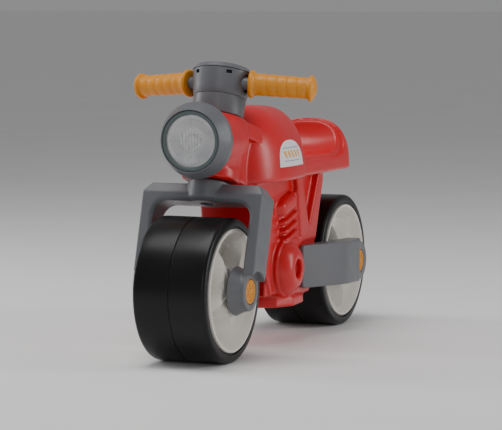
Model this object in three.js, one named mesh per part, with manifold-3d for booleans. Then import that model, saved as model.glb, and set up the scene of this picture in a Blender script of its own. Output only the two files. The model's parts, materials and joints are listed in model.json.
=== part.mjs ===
// A toddler's foot-to-floor ride-on motorbike, in millimetres.
// +Z is up, the bike faces -Y, and the rider's left is +X.
// The origin is on the ground, midway between the wheels.
import * as THREE from "three";
import { mergeVertices } from "three/addons/utils/BufferGeometryUtils.js";
import Module from "manifold-3d";

const wasm = await Module();
wasm.setup();

const degrees = Math.PI / 180;

// ---------- Driving dimensions ----------

// Wheels
const wheelRadius = 100;
const wheelGap = 240; // clear ground between the two tyres
const tyreWidth = 107;
const tyreThickness = 14.7;
const tyreShoulder = 9;
const treadWall = 7; // the tyre is hollow behind its tread
const seamDepth = 1.5;
const rimLip = 1.5; // how far the rim stands out past the tyre
const rimWall = 3.5;
const webDepth = 19; // how far the wheel's web lies in from the rim's lip
const webWall = 3.5;
const spokeCount = 5;
const spokeWidth = 15;
const spokeHeight = 10;
const axleRadius = 5;
const bushWall = 3;
const washerThickness = 1.4;

// Fits
const fit = 0.3; // gap between pieces that touch
const sideClearance = 2.5; // wheel to fork, each side

// Steering, with heights measured up the steering axis from the front hub
const rake = 17 * degrees;
const tyreToCrown = 20;
const crownHeight = 30;
const crownHalfDepth = 23;
const crownRadius = 30; // the round boss under the steering head
const crownShoulder = 4.5; // how far the crown's shoulders lie below its boss
const crownBevelDepth = 8;
const crownBevelHeight = 14.2;
const crownCornerWidth = 10;
const crownCornerHeight = 13.5;
const archChamfer = 5;
const boltSeatDepth = 8; // crown's underside to the bolt head's seat
const legThickness = 17.5;
const legInset = 15; // wheel boss's inner face to the leg's inner face
const dropOutRadius = 35;
const dropOutFaceRadius = 26.5;
const hoodDepth = 10; // how far the leg stands out past the drop-out's face
const archRadius = 21;
const stemRadius = 12;
const stemWall = 3;
const headGap = 2.5; // crown to the body
const headLength = 89.2;
const headRadius = 40;
const steeringBushWall = 6;
const steeringBushLength = 17;
const sleeveGap = 3.3;
const sleeveHeight = 26.5;
const sleeveRadius = 35.5;
const sleeveFlare = 1.5;
const capRadius = 41.5; // at its top
const capFootRadius = 37;
const capHeight = 35.7;
const barAboveCap = 19.9; // the cap's underside to the bar's axis
const capWall = 3;
const lidHeight = 7.2;
const lidDish = 1.5;
const windowTurns = [54, 126, 234, 306].map((turn) => turn * degrees);
const boltRadius = 3;
const clampScrewRadius = 1.8;
const clampScrewX = 16; // one screw on each side of the steering bolt, behind the bar

// Handlebar
const barRadius = 9;
const barWall = 1.5;
const barSweep = 13.7 * degrees;
const barLead = 15.2; // the bar's middle lies this far ahead of the steering axis
const barHalfSpan = 136.4; // to the end of a grip
const gripStart = 44;
const gripRadius = 15.5;
const gripTaper = 1;
const gripFlange = 19.5;
const gripEndFlange = 18.2;

// Axle caps
const capButtonRadius = 17;
const capButtonDepth = 9.7;

// Body, measured from the top of the fork crown on the steering axis
const bodyWall = 2.6;
const seatHalfWidth = 62;
const seatRim = 17;
const tailHeight = 74.5;
const strutHalfWidth = 52;
const strutFront = 209;
const strutFoot = 219;
const strutHeel = 280;
const strutRear = 311;
const strutLow = -101;
const armSeatHalfWidth = 50;
const engineHalfWidth = 55;
const engineLean = 14.7 * degrees;
const headBlockLow = 80.3; // heights up the leaning cylinder from the crank
const headBlockHigh = 95.4;
const headBlockTop = 101;
const finHeights = [38.4, 51.2, 64.9];
const finThickness = 6.8;
const headBlockRear = 194;
const finRear = 202;
const pillarHalfWidth = 46;
const pillarFront = 70;
const pillarFoot = 84;
const crankY = 168;
const crankAboveHub = 9.7;
const crankRadius = 39;
const crankReach = 68; // centre plane to the crank cover's ring
const crankHole = 13.5;
const crankHoleDepth = 10;
const sumpDepth = 190.5;
const lampRadius = 53;
const lampHeight = 61.6;
const lampFront = -69;
const lampBack = -36;
const lensRadius = 35.8;
const trimRadius = 41.8;
const spigotRadius = 30;
const spigotLength = 12;

const plugY = 380; // the moulding's blow hole, under the tail

// Rear arms
const armHeight = 63.5;
const armAboveHub = 2.7;
const armTilt = 1.4 * degrees; // its front end is the higher
const armFront = 214;
const armBend = 60;
const armCorner = 6.5;
const armStandOut = 10; // arm's outer face past the drop-out's face
const armWall = 5;
const armHubRadius = 30;
const tieRodRadius = 4;
const tieRodY = 252;
const tieRodAboveHub = 6;

// ---------- Sizes that follow ----------

const axleHeight = wheelRadius;
const frontHubY = -(wheelGap / 2 + wheelRadius);
const rearHubY = wheelGap / 2 + wheelRadius;
const tyreHalf = tyreWidth / 2;
const rimHalf = tyreHalf + rimLip;
const dropOutInner = rimHalf + sideClearance;
const legInner = dropOutInner + legInset;
const legOuter = legInner + legThickness;
const dropOutFace = legOuter - hoodDepth;
const armReach = dropOutFace + armStandOut;
const crownLow = wheelRadius + tyreToCrown;
const crownTop = crownLow + crownHeight;
const shoulderTop = crownTop - crownShoulder;
const boltSeat = crownLow + boltSeatDepth;
const stemSeat = boltSeat + 4;
const headLow = crownTop + headGap;
const headTop = headLow + headLength;
const sleeveLow = headTop + sleeveGap;
const sleeveTop = sleeveLow + sleeveHeight;
const capLow = sleeveTop + fit;
const capTop = capLow + capHeight;
const barHeight = capLow + barAboveCap;
const barMiddle = -barLead;
const clampScrewY = barMiddle + clampScrewX * Math.tan(barSweep) + barRadius + 3.8;
const steeringBore = stemRadius + fit + steeringBushWall + fit;
const datumY = frontHubY + crownTop * Math.sin(rake);
const datumZ = axleHeight + crownTop * Math.cos(rake);
const rearHubInBody = rearHubY - datumY;
const hubHeightInBody = axleHeight - datumZ;
const crankZ = hubHeightInBody + crankAboveHub;
const tieRodZ = hubHeightInBody + tieRodAboveHub;
const armLow = hubHeightInBody + armAboveHub - armHeight / 2;
const buttonRecess = capButtonRadius + fit;

// ---------- Solids ----------

// A closed three.js geometry as a manifold-3d solid.
function solid(geometry) {
  const bare = geometry.clone();
  bare.deleteAttribute("normal");
  bare.deleteAttribute("uv");
  const merged = mergeVertices(bare, 1e-4);
  const corners = merged.index.array;
  const kept = [];
  for (let i = 0; i < corners.length; i += 3) {
    const [a, b, c] = [corners[i], corners[i + 1], corners[i + 2]];
    if (a !== b && b !== c && c !== a) kept.push(a, b, c);
  }
  return new wasm.Manifold(
    new wasm.Mesh({
      numProp: 3,
      vertProperties: new Float32Array(merged.attributes.position.array),
      triVerts: new Uint32Array(kept),
    }),
  );
}

function geometryOf(body) {
  const made = body.getMesh();
  const geometry = new THREE.BufferGeometry();
  geometry.setAttribute("position", new THREE.BufferAttribute(made.vertProperties, 3));
  geometry.setIndex(new THREE.BufferAttribute(made.triVerts, 1));
  return geometry;
}

function join(...solids) {
  return solids.reduce((whole, next) => whole.add(next));
}

function cut(whole, ...tools) {
  return tools.reduce((left, tool) => left.subtract(tool), whole);
}

function placed(geometry, x, y, z) {
  return solid(geometry.translate(x, y, z));
}

// A closed profile of [radius, height] points, anticlockwise, turned about Z.
function turnedGeometry(profile, segments) {
  const points = [...profile, profile[0]].map(([r, h]) => new THREE.Vector2(r, h));
  return new THREE.LatheGeometry(points, segments).rotateX(Math.PI / 2);
}

function turned(profile, segments = 24) {
  return solid(turnedGeometry(profile, segments));
}

// The same, turned about X, with heights along +X, centred on y and z.
function turnedAlongX(profile, segments = 24, y = 0, z = 0) {
  const geometry = turnedGeometry(profile, segments).rotateY(Math.PI / 2);
  return solid(geometry.translate(0, y, z));
}

// The same, turned about Y, with heights along +Y.
function turnedAlongY(profile, segments, y, z) {
  const geometry = turnedGeometry(profile, segments).rotateX(-Math.PI / 2);
  return solid(geometry.translate(0, y, z));
}

function tube(inner, outer, low, high) {
  return [
    [inner, low],
    [outer, low],
    [outer, high],
    [inner, high],
  ];
}

function rod(radius, low, high) {
  return tube(0, radius, low, high);
}

function outline(points) {
  return new THREE.Shape(points.map(([u, v]) => new THREE.Vector2(u, v)));
}

function extruded(points, depth) {
  return new THREE.ExtrudeGeometry(outline(points), { depth, bevelEnabled: false });
}

// An outline in X and Y, extruded along Z.
function slab(points, low, high) {
  return solid(extruded(points, high - low).translate(0, 0, low));
}

// An outline in Y and Z, extruded along X.
function sidePlate(points, low, high) {
  const axes = new THREE.Matrix4().makeBasis(
    new THREE.Vector3(0, 1, 0),
    new THREE.Vector3(0, 0, 1),
    new THREE.Vector3(1, 0, 0),
  );
  return solid(extruded(points, high - low).applyMatrix4(axes).translate(low, 0, 0));
}

// An outline in X and Z, extruded along Y.
function frontPlate(points, low, high) {
  const axes = new THREE.Matrix4().makeBasis(
    new THREE.Vector3(1, 0, 0),
    new THREE.Vector3(0, 0, 1),
    new THREE.Vector3(0, -1, 0),
  );
  return solid(extruded(points, high - low).applyMatrix4(axes).translate(0, high, 0));
}

function block(x, y, z) {
  const size = [x[1] - x[0], y[1] - y[0], z[1] - z[0]];
  const middle = [x[0] + x[1], y[0] + y[1], z[0] + z[1]].map((sum) => sum / 2);
  return placed(new THREE.BoxGeometry(...size), ...middle);
}

// Closed rings of equal length, joined into a skin and capped at both ends.
function loft(rings) {
  const count = rings[0].length;
  const vertices = rings.flat().flat();
  const faces = [];
  for (let i = 0; i + 1 < rings.length; i++) {
    for (let k = 0; k < count; k++) {
      const a = i * count + k;
      const b = i * count + ((k + 1) % count);
      faces.push(a, b, a + count, b, b + count, a + count);
    }
  }
  const last = (rings.length - 1) * count;
  for (let k = 1; k + 1 < count; k++) {
    faces.push(0, k + 1, k, last, last + k, last + k + 1);
  }
  const geometry = new THREE.BufferGeometry();
  geometry.setAttribute("position", new THREE.Float32BufferAttribute(vertices, 3));
  geometry.setIndex(faces);
  return solid(geometry);
}

function mirrored(points) {
  const other = points.map(([x, v]) => [-x, v]).reverse();
  return [...points, ...other];
}

// A solid tilted about a line along X through y and z.
function tilted(body, angle, y = 0, z = 0) {
  return solid(geometryOf(body).translate(0, -y, -z).rotateX(angle).translate(0, y, z));
}

// ---------- Materials ----------

function plastic(color, roughness) {
  return new THREE.MeshStandardMaterial({ color, roughness, metalness: 0 });
}

function metal(color, roughness) {
  return new THREE.MeshStandardMaterial({ color, roughness, metalness: 1 });
}

const looks = {
  red: () => plastic(0xd8141c, 0.38),
  grey: () => plastic(0x74767c, 0.5),
  yellow: () => plastic(0xe39a18, 0.45),
  cream: () => plastic(0xded9d0, 0.4),
  black: () => plastic(0x131416, 0.35),
  trim: () => plastic(0x53605f, 0.45),
  lens: () => plastic(0xd8dade, 0.15),
  mirror: () => metal(0xc9c9cb, 0.25),
  nylon: () => plastic(0x2a2a2c, 0.5),
  sticker: () => plastic(0xece8e6, 0.35),
  steel: () => metal(0xb8bbbf, 0.35),
};

const bike = new THREE.Group();

function group(parent, y, z, tilt = 0) {
  const made = new THREE.Group();
  made.position.set(0, y, z);
  made.rotation.x = tilt;
  parent.add(made);
  return made;
}

function add(parent, name, body, look) {
  const mesh = new THREE.Mesh(geometryOf(body), looks[look]());
  mesh.name = name;
  parent.add(mesh);
  return mesh;
}

// Adds the piece on +X as NAME_left, and its mirror image as NAME_right.
function addPair(parent, name, body, look) {
  add(parent, name + "_left", body, look);
  add(parent, name + "_right", body, look).scale.x = -1;
}

// ---------- Wheels ----------

function tyre() {
  const inner = wheelRadius - tyreThickness;
  const shoulder = wheelRadius - tyreShoulder;
  const bevel = tyreShoulder * 0.3;
  const side = [
    [wheelRadius - bevel, tyreHalf - bevel],
    [shoulder, tyreHalf],
    [inner, tyreHalf],
  ];
  const lip = tyreHalf - 14;
  const half = [
    [wheelRadius - seamDepth, 0],
    [wheelRadius, seamDepth],
    [wheelRadius, tyreHalf - tyreShoulder],
    ...side,
    [inner, lip],
    [wheelRadius - treadWall, lip - 3],
  ];
  const other = half.slice(1).reverse().map(([r, h]) => [r, -h]);
  return turnedAlongX([...other, ...half], 40);
}

function hubHalf() {
  const rim = wheelRadius - tyreThickness - fit;
  const web = rimHalf - webDepth;
  const bore = axleRadius + fit + bushWall + fit;
  const boss = bore + 8;
  const dish = turnedAlongX(
    [
      [bore, fit],
      [boss, fit],
      [boss, web - webWall],
      [rim - rimWall - 4, web - webWall],
      [rim - rimWall, fit],
      [rim, fit],
      [rim, rimHalf],
      [rim - rimWall - 1, rimHalf],
      [rim - rimWall - 6, web],
      [boss + 12, web],
      [boss + 8, rimHalf - 6],
      [bore, rimHalf - 6],
    ],
    20,
  );
  const spoke = (turn) => {
    const half = spokeWidth / 2;
    const geometry = extruded(
      mirrored([
        [half, 0],
        [half * 0.45, spokeHeight],
      ]),
      rim - rimWall - 3 - boss,
    );
    const axes = new THREE.Matrix4().makeBasis(
      new THREE.Vector3(0, 1, 0),
      new THREE.Vector3(1, 0, 0),
      new THREE.Vector3(0, 0, -1),
    );
    geometry.applyMatrix4(axes).translate(web - 1, 0, -boss);
    return solid(geometry.rotateX(turn));
  };
  const spokes = Array.from({ length: spokeCount }, (_, i) => {
    return spoke((i * 2 * Math.PI) / spokeCount);
  });
  return join(dish, ...spokes);
}

function wheel(parent, end) {
  add(parent, end + "_tyre", tyre(), "black");
  addPair(parent, end + "_hub", hubHalf(), "cream");
  const inner = axleRadius + fit;
  const outer = inner + bushWall;
  const face = rimHalf - 6;
  const bush = turnedAlongX(
    [
      [inner, 12],
      [outer, 12],
      [outer, face + fit],
      [outer + 5, face + fit],
      [outer + 5, face + 2.3],
      [inner, face + 2.3],
    ],
    12,
  );
  addPair(parent, end + "_hub_bush", bush, "nylon");
  const spacerLow = face + 2.3 + fit;
  const spacer = tube(inner, inner + 4, spacerLow, dropOutInner - fit);
  addPair(parent, end + "_wheel_spacer", turnedAlongX(spacer, 12), "nylon");
}

function axle(parent, end) {
  const seat = dropOutFace - capButtonDepth;
  const length = seat + 5;
  add(parent, end + "_axle", turnedAlongX(rod(axleRadius, -length, length), 12), "steel");
  const nut = tube(axleRadius + fit, axleRadius + 4.5, seat + fit, seat + fit + washerThickness);
  addPair(parent, end + "_push_nut", turnedAlongX(nut, 12), "steel");
  const skirt = capButtonRadius - 3;
  const button = turnedAlongX(
    [
      [skirt, seat + fit],
      [capButtonRadius, seat + fit],
      [capButtonRadius, dropOutFace - 1.5],
      [capButtonRadius - 1.5, dropOutFace - 0.4],
      [0, dropOutFace - 0.4],
      [0, dropOutFace - 3],
      [skirt, dropOutFace - 3],
    ],
    16,
  );
  addPair(parent, end + "_axle_cap", button, "yellow");
}

// Bores for the axle and its button, on +X, at y and z.
function axleBores(y, z) {
  const seat = dropOutFace - capButtonDepth;
  return [
    turnedAlongX(rod(axleRadius + fit, dropOutInner - 5, seat + 1), 12, y, z),
    turnedAlongX(rod(buttonRecess, seat, dropOutFace + 20), 20, y, z),
  ];
}

// ---------- Steering ----------

function arc(x, y, radius, from, to, steps) {
  return Array.from({ length: steps + 1 }, (_, i) => {
    const angle = from + ((to - from) * i) / steps;
    return [x + radius * Math.cos(angle), y + radius * Math.sin(angle)];
  });
}

// Half of the arch over the tyre, grown outward, from the leg's foot to the centre.
function archCorner(grow) {
  const radius = archRadius + grow;
  const x = legInner - archRadius;
  return [[legInner + grow, -60], ...arc(x, crownLow - archRadius, radius, 0, Math.PI / 2, 5)];
}

function fork() {
  const frame = frontPlate(
    mirrored([
      [0, shoulderTop],
      [legOuter - crownCornerWidth, shoulderTop],
      [legOuter, shoulderTop - crownCornerHeight],
      [legOuter, 0],
      [legInner, 0],
      ...archCorner(0).slice(1),
      [0, crownLow],
    ].reverse()),
    -crownHalfDepth,
    crownHalfDepth,
  );
  const slope = crownBevelHeight / crownBevelDepth;
  const bevel = (side) => {
    const edge = side * crownHalfDepth;
    return sidePlate(
      [
        [edge + side, shoulderTop - crownBevelHeight - slope],
        [edge - side * (crownBevelDepth + 1 / slope), shoulderTop + 1],
        [edge + side, shoulderTop + 1],
      ],
      -legOuter,
      legOuter,
    );
  };
  const chamfer = (side) => {
    const ring = (grow, y) => mirrored(archCorner(grow)).map(([x, z]) => [x, y, z]).reverse();
    const rings = [
      ring(0, side * (crownHalfDepth - archChamfer)),
      ring(archChamfer + 1, side * (crownHalfDepth + 1)),
    ];
    return loft(side > 0 ? rings : rings.reverse());
  };
  const mouth = dropOutFaceRadius + 1;
  const dropOut = turnedAlongX(
    [
      [0, dropOutInner],
      [dropOutRadius, dropOutInner],
      [dropOutFaceRadius + 3, legInner],
      [dropOutFaceRadius, dropOutFace],
      [0, dropOutFace],
    ],
    20,
  );
  const hood = turnedAlongX(rod(mouth, dropOutFace, legOuter + 5), 20);
  const side = (body) => [body, solid(geometryOf(body).rotateZ(Math.PI))];
  const boss = turned(rod(crownRadius, crownLow + archChamfer, crownTop), 24);
  const crown = cut(frame, bevel(1), bevel(-1), chamfer(1), chamfer(-1));
  return cut(
    join(crown, boss, ...side(dropOut)),
    ...side(hood),
    ...axleBores(0, 0).flatMap(side),
    turned(rod(boltRadius * 2 + 3, crownLow - 5, boltSeat), 12),
    turned(rod(boltRadius + fit, boltSeat - 1, crownTop), 12),
    turned(rod(stemRadius + fit, stemSeat, crownTop + 1), 16),
  );
}

function steeringBush(flangeLow, flangeHigh, low, high) {
  const inner = stemRadius + fit;
  const outer = inner + steeringBushWall;
  const sleeve = turned(tube(inner, outer, low, high), 16);
  const flange = turned(tube(inner, outer + 5, flangeLow, flangeHigh), 16);
  return join(sleeve, flange);
}

function sleeve() {
  const inside = sleeveRadius - 3.5;
  const collar = stemRadius + fit;
  const floor = sleeveLow + 13;
  return turned(
    [
      [sleeveRadius, sleeveLow],
      [sleeveRadius + sleeveFlare, sleeveTop],
      [inside - 1, sleeveTop],
      [inside - 1, floor + 4],
      [collar + 5, floor + 4],
      [collar + 5, sleeveTop],
      [collar, sleeveTop],
      [collar, floor],
      [inside, floor],
      [inside, sleeveLow],
    ],
    24,
  );
}

function handlebar() {
  const end = (barHalfSpan - 8) / Math.cos(barSweep);
  const tubes = (radius, length) => {
    const profile = rod(radius, -2, length);
    return join(turnedOnBar(profile, 12), turnedOnBarRight(profile, 12));
  };
  return cut(tubes(barRadius, end), tubes(barRadius - barWall, end + 5));
}

// A profile turned about the bar's left half, with heights measured along it from the bend.
function turnedOnBar(profile, segments) {
  const geometry = turnedGeometry(profile, segments).rotateY(Math.PI / 2);
  return solid(geometry.rotateZ(barSweep).translate(0, barMiddle, barHeight));
}

function grip() {
  const along = 1 / Math.cos(barSweep);
  const start = gripStart * along;
  const end = barHalfSpan * along;
  const bore = barRadius + fit;
  const body = gripRadius - gripTaper;
  return turnedOnBar(
    [
      [bore, start],
      [gripFlange - 2, start],
      [gripFlange, start + 3],
      [gripFlange - 1.5, start + 7],
      [gripRadius, start + 9],
      [body, end - 13],
      [gripEndFlange, end - 9.5],
      [gripEndFlange, end - 6.5],
      [gripEndFlange - 5, end - 3.6],
      [gripEndFlange - 11, end - 1],
      [0, end],
      [0, end - 5],
      [bore, end - 5],
    ],
    16,
  );
}

function steeringCap() {
  const inner = capRadius - capWall;
  const shell = turned(
    [
      [boltRadius + fit, capLow],
      [capFootRadius, capLow],
      [capFootRadius + 1.5, capLow + 5.2],
      [capFootRadius + 2, capLow + 8.2],
      [capRadius, capTop],
      [inner, capTop],
      [capFootRadius - 1.5, capLow + 4],
      [boltRadius + fit, capLow + 4],
    ],
    24,
  );
  const windows = windowTurns.map((turn) => {
    const geometry = new THREE.BoxGeometry(capWall * 3, 8, 4.3);
    geometry.translate(inner, 0, capTop - 5.6).rotateZ(turn);
    return solid(geometry);
  });
  const exit = turnedOnBar(rod(barRadius + fit, 15, 60), 12);
  const otherExit = turnedOnBarRight(rod(barRadius + fit, 15, 60), 12);
  return cut(shell, ...windows, exit, otherExit);
}

// The same on the bar's right half.
function turnedOnBarRight(profile, segments) {
  const geometry = turnedGeometry(profile, segments).rotateY(-Math.PI / 2);
  return solid(geometry.rotateZ(-barSweep).translate(0, barMiddle, barHeight));
}

function capLid() {
  const top = capTop + lidHeight;
  const edge = capRadius + 0.5;
  const plate = turned(
    [
      [0, capTop + fit],
      [edge, capTop + fit],
      [edge, capTop + 1.4],
      [edge - 4.5, top],
      [edge - 7.5, top],
      [edge - 9, top - lidDish],
      [0, top - lidDish],
    ],
    24,
  );
  const clips = windowTurns.map((turn) => {
    const geometry = new THREE.BoxGeometry(2.4, 7, 8);
    geometry.translate(capRadius - capWall - 3.3, 0, capTop - 3.4).rotateZ(turn);
    return solid(geometry);
  });
  return join(plate, ...clips);
}

function barClamp() {
  const saddle = block(
    [-clampScrewX - 4.5, clampScrewX + 4.5],
    [barMiddle - 6, clampScrewY + 4.5],
    [barHeight + 1, capTop - 3.5],
  );
  const holes = [-1, 1].map((side) => {
    const geometry = turnedGeometry(rod(clampScrewRadius + fit, barHeight - 2, capTop), 12);
    return placed(geometry, side * clampScrewX, clampScrewY, 0);
  });
  const left = turnedOnBar(rod(barRadius + 0.6, -3, 50), 12);
  const right = turnedOnBarRight(rod(barRadius + 0.6, -3, 50), 12);
  return cut(saddle, left, right, ...holes);
}

function clampScrew() {
  return join(
    turned(rod(clampScrewRadius, capLow + 4.5, capTop - 3.1), 12),
    turned(rod(clampScrewRadius + 1.4, capTop - 3.2, capTop - 0.8), 12),
  );
}

function buildSteering() {
  const steering = group(bike, frontHubY, axleHeight, -rake);
  add(steering, "front_fork", fork(), "grey");
  const stem = tube(stemRadius - stemWall, stemRadius, stemSeat + fit, sleeveTop);
  add(steering, "steering_stem", turned(stem, 16), "steel");
  add(steering, "steering_sleeve", sleeve(), "grey");
  add(steering, "steering_cap", steeringCap(), "grey");
  add(steering, "steering_cap_lid", capLid(), "grey");
  add(steering, "handlebar_tube", handlebar(), "grey");
  addPair(steering, "grip", grip(), "yellow");
  add(steering, "handlebar_clamp", barClamp(), "nylon");
  [-1, 1].forEach((side) => {
    const name = side > 0 ? "clamp_screw_left" : "clamp_screw_right";
    const screw = add(steering, name, clampScrew(), "steel");
    screw.position.set(side * clampScrewX, clampScrewY, 0);
  });
  const boltHead = boltSeat - fit;
  const washerLow = capLow + 4 + fit;
  const nutLow = washerLow + washerThickness + fit;
  const bolt = join(
    turned(rod(boltRadius, boltHead - 1, nutLow + 6), 12),
    turned(rod(boltRadius * 2, boltHead - 4, boltHead), 6),
  );
  add(steering, "steering_bolt", bolt, "steel");
  const washer = tube(boltRadius + fit, boltRadius + 2, washerLow, washerLow + washerThickness);
  add(steering, "steering_washer", turned(washer, 16), "steel");
  const hexagon = turned(rod(boltRadius + 2.2, nutLow, nutLow + 4.5), 6);
  const thread = turned(rod(boltRadius + fit, nutLow - 1, nutLow + 6), 12);
  add(steering, "steering_nut", cut(hexagon, thread), "steel");
  const level = group(bike, frontHubY, axleHeight);
  axle(level, "front");
  wheel(level, "front");
}

// ---------- Body ----------

// Tank stations: y, half width, height of the crown of its arch.
const tankStations = [
  [51, 42, 60],
  [66, 56, 80],
  [86, 65, 94],
  [111, 69, 101],
  [131, 70, 103],
  [161, 69, 102],
  [186, 67, 100],
  [201, 65.5, 97],
  [209, 60, 82],
];

// Seat stations: y, half width, height of the rim at the side, height in the middle.
const seatStations = [
  [200, seatHalfWidth - 2, seatRim - 2, 30],
  [222, seatHalfWidth, seatRim, 24],
  [250, seatHalfWidth, seatRim, 19],
  [326, seatHalfWidth, seatRim, 20],
  [356, seatHalfWidth, seatRim, 30],
  [371, seatHalfWidth - 0.5, seatRim + 1, tailHeight - 16],
  [383, seatHalfWidth - 1, seatRim + 1, tailHeight],
  [404, seatHalfWidth - 3, seatRim - 1, tailHeight - 2],
  [419, seatHalfWidth - 12, seatRim - 5, tailHeight - 16],
  [426, seatHalfWidth - 24, seatRim - 9, tailHeight - 34],
];

const archPower = 2 / 2.1;
const archSteps = 10;

// A section with a flat base, upright sides to the rim, and an arch from rim to rim.
function archRing(y, halfWidth, rim, top, inset) {
  const ring = [];
  for (let i = 0; i <= archSteps; i++) {
    const angle = (Math.PI * i) / archSteps;
    const across = Math.sign(Math.cos(angle)) * Math.abs(Math.cos(angle)) ** archPower;
    const up = Math.abs(Math.sin(angle)) ** archPower;
    ring.push([(halfWidth - inset) * across, y, rim + (top - inset - rim) * up]);
  }
  const low = halfWidth - inset;
  ring.push([-low, y, 2 + inset], [-low + 6, y, inset - 4]);
  ring.push([low - 6, y, inset - 4], [low, y, 2 + inset]);
  return ring.reverse();
}

function inside(stations, inset) {
  const moved = stations.map((row) => [...row]);
  moved[0][0] += inset;
  moved[moved.length - 1][0] -= inset;
  return moved;
}

function tank(inset) {
  const rows = inside(tankStations, inset);
  return loft(rows.map(([y, half, top]) => archRing(y, half, 12, top, inset)));
}

function seat(inset) {
  const rows = inside(seatStations, inset);
  return loft(rows.map(([y, half, rim, top]) => archRing(y, half, rim, top, inset)));
}

// The panel that carries the seat down to the rear arms.
function strut(inset) {
  const outer = sidePlate(
    [
      [strutFoot + inset, strutLow],
      [strutHeel - inset, strutLow],
      [strutRear - inset, -15],
      [strutRear - inset, 6],
      [strutFront - 20, 6],
      [strutFront + inset - 2, -15],
    ],
    inset - strutHalfWidth,
    strutHalfWidth - inset,
  );
  const middle = 252.5;
  const groove = 8;
  const recess = (side) => {
    const low = side * (strutHalfWidth - groove) - groove - inset;
    const high = side * (strutHalfWidth - groove) + groove + inset;
    return sidePlate(
      [
        [middle - 1, strutLow + 25 - inset],
        [middle + 1, strutLow + 25 - inset],
        [strutRear - 16 + inset, -4],
        [strutFront + 13 - inset, -4],
      ],
      side > 0 ? strutHalfWidth - groove - inset : low,
      side > 0 ? high : groove - strutHalfWidth + inset,
    );
  };
  return cut(outer, recess(1), recess(-1));
}

function armSeat(inset) {
  return block(
    [inset - armSeatHalfWidth, armSeatHalfWidth - inset],
    [crankY, strutHeel - inset],
    [hubHeightInBody - 34 + inset, strutLow + 8],
  );
}

// The finned cylinder, leaning forward about the crank.
function engine(inset) {
  const plan = (half, front) => {
    return mirrored([
      [half - 33, front - 16 + inset],
      [half - 5 - inset, front - 1 + inset],
      [half - inset, front + 5 + inset],
      [half - inset, front + 100],
    ]);
  };
  const leaning = (standing, rear) => {
    const leant = tilted(solid(geometryOf(standing).translate(0, crankY, crankZ)), engineLean, crankY, crankZ);
    return cut(leant, block([-80, 80], [rear - inset, 400], [-200, 60]));
  };
  const core = leaning(slab(plan(engineHalfWidth - 8, 7), 0, headBlockHigh - 1 - inset), strutFoot + 8);
  const at = (points, height) => points.map(([x, y]) => [x, y, height]);
  const headBlock = leaning(
    loft([
      at(plan(engineHalfWidth, 0), headBlockLow + inset),
      at(plan(engineHalfWidth, 0), headBlockHigh - inset),
      at(plan(engineHalfWidth - 7, 5), headBlockTop - inset),
    ]),
    headBlockRear,
  );
  const fins = inset > 0 ? [] : finHeights.map((low) => {
    return leaning(slab(plan(engineHalfWidth, 0), low, low + finThickness), finRear);
  });
  const above = block([-80, 80], [-100, 400], [10 - inset, 80]);
  return cut(join(core, headBlock, ...fins), above);
}

// The broad pillar ahead of the cylinder, from the neck down to the sump.
function pillar(inset) {
  return sidePlate(
    [
      [pillarFront + inset, -30 - inset],
      [pillarFoot + inset, -120],
      [pillarFoot + inset + 30, 21 - sumpDepth + inset],
      [156 - inset, 21 - sumpDepth + inset],
      [156 - inset, -30 - inset],
    ],
    inset - pillarHalfWidth,
    pillarHalfWidth - inset,
  );
}

function crankCase(inset) {
  const plan = mirrored([
    [14, 138 + inset],
    [40 - inset, 152 + inset],
    [47 - inset, 181],
    [47 - inset, strutHeel - 20],
  ]);
  return slab(plan, inset - sumpDepth + 12, crankZ + 30);
}

function sump(inset) {
  const plan = (side, tail) => mirrored([
    [15, 136 + inset],
    [40 - inset, 150 + inset],
    [55 - inset, 181],
    [side - inset, 226],
    [39 - inset, tail - inset],
  ]);
  const pan = slab(plan(52, 262), inset - sumpDepth, 17 - sumpDepth - inset);
  const ledge = slab(plan(46, 250), inset - sumpDepth, 26 - sumpDepth - inset);
  const roomSide = armSeatHalfWidth - 2 - inset;
  const armRoomMiddle = (roomSide + 80) / 2;
  const room = block([roomSide, 80], [armFront - 1 - inset, 400], [armLow - 1, 0]);
  return cut(join(pan, ledge), room, solid(geometryOf(room).translate(-2 * armRoomMiddle, 0, 0)));
}

function crankCover(inset) {
  const reach = crankReach - inset;
  const radius = crankRadius - inset;
  const hole = crankHole + inset;
  const profile = [
    [0, 30],
    [radius + 3, 30],
    [radius + 3, engineHalfWidth - 5 - inset],
    [radius, engineHalfWidth - 3 - inset],
    [radius - 4, reach - 8],
    [radius - 12, reach - 2],
    [radius - 19, reach],
    [hole + 2, reach],
    [hole, reach - crankHoleDepth],
    [0, reach - crankHoleDepth],
  ];
  const left = turnedAlongX(profile, 20);
  const right = solid(geometryOf(left).rotateZ(Math.PI));
  return solid(geometryOf(join(left, right)).translate(0, crankY, crankZ));
}

// The neck that joins the tank to the engine.
function neck(inset) {
  return block([inset - 42, 42 - inset], [pillarFront + 1 + inset, strutFront], [-40 + inset, 8]);
}

// Everything around the steering bore, in the tilted frame of the steering axis.
function head(inset) {
  const low = headGap + inset;
  const high = headGap + headLength - inset;
  const radius = headRadius - inset;
  const column = turned(rod(radius - 3, low, high), 24);
  const foot = turned(rod(radius, low, low + 18 - 2 * inset), 24);
  const wings = slab(
    mirrored([
      [0, -radius],
      [radius * 0.7, -radius * 0.72],
      [radius, 0],
      [radius + 7, 52 - inset],
      [radius - 4, 58 - inset],
    ]),
    high - 22 + 2 * inset,
    high,
  );
  const web = block([6 - radius, radius - 6], [0, 74], [low + 6, high - 8]);
  const upright = join(column, foot, wings, web);
  const lampSpace = rod(lampRadius + 2, lampBack - 60, lampBack + fit + inset);
  return cut(
    tilted(upright, -rake),
    turnedAlongY(lampSpace, 24, 0, lampHeight),
  );
}

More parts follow.
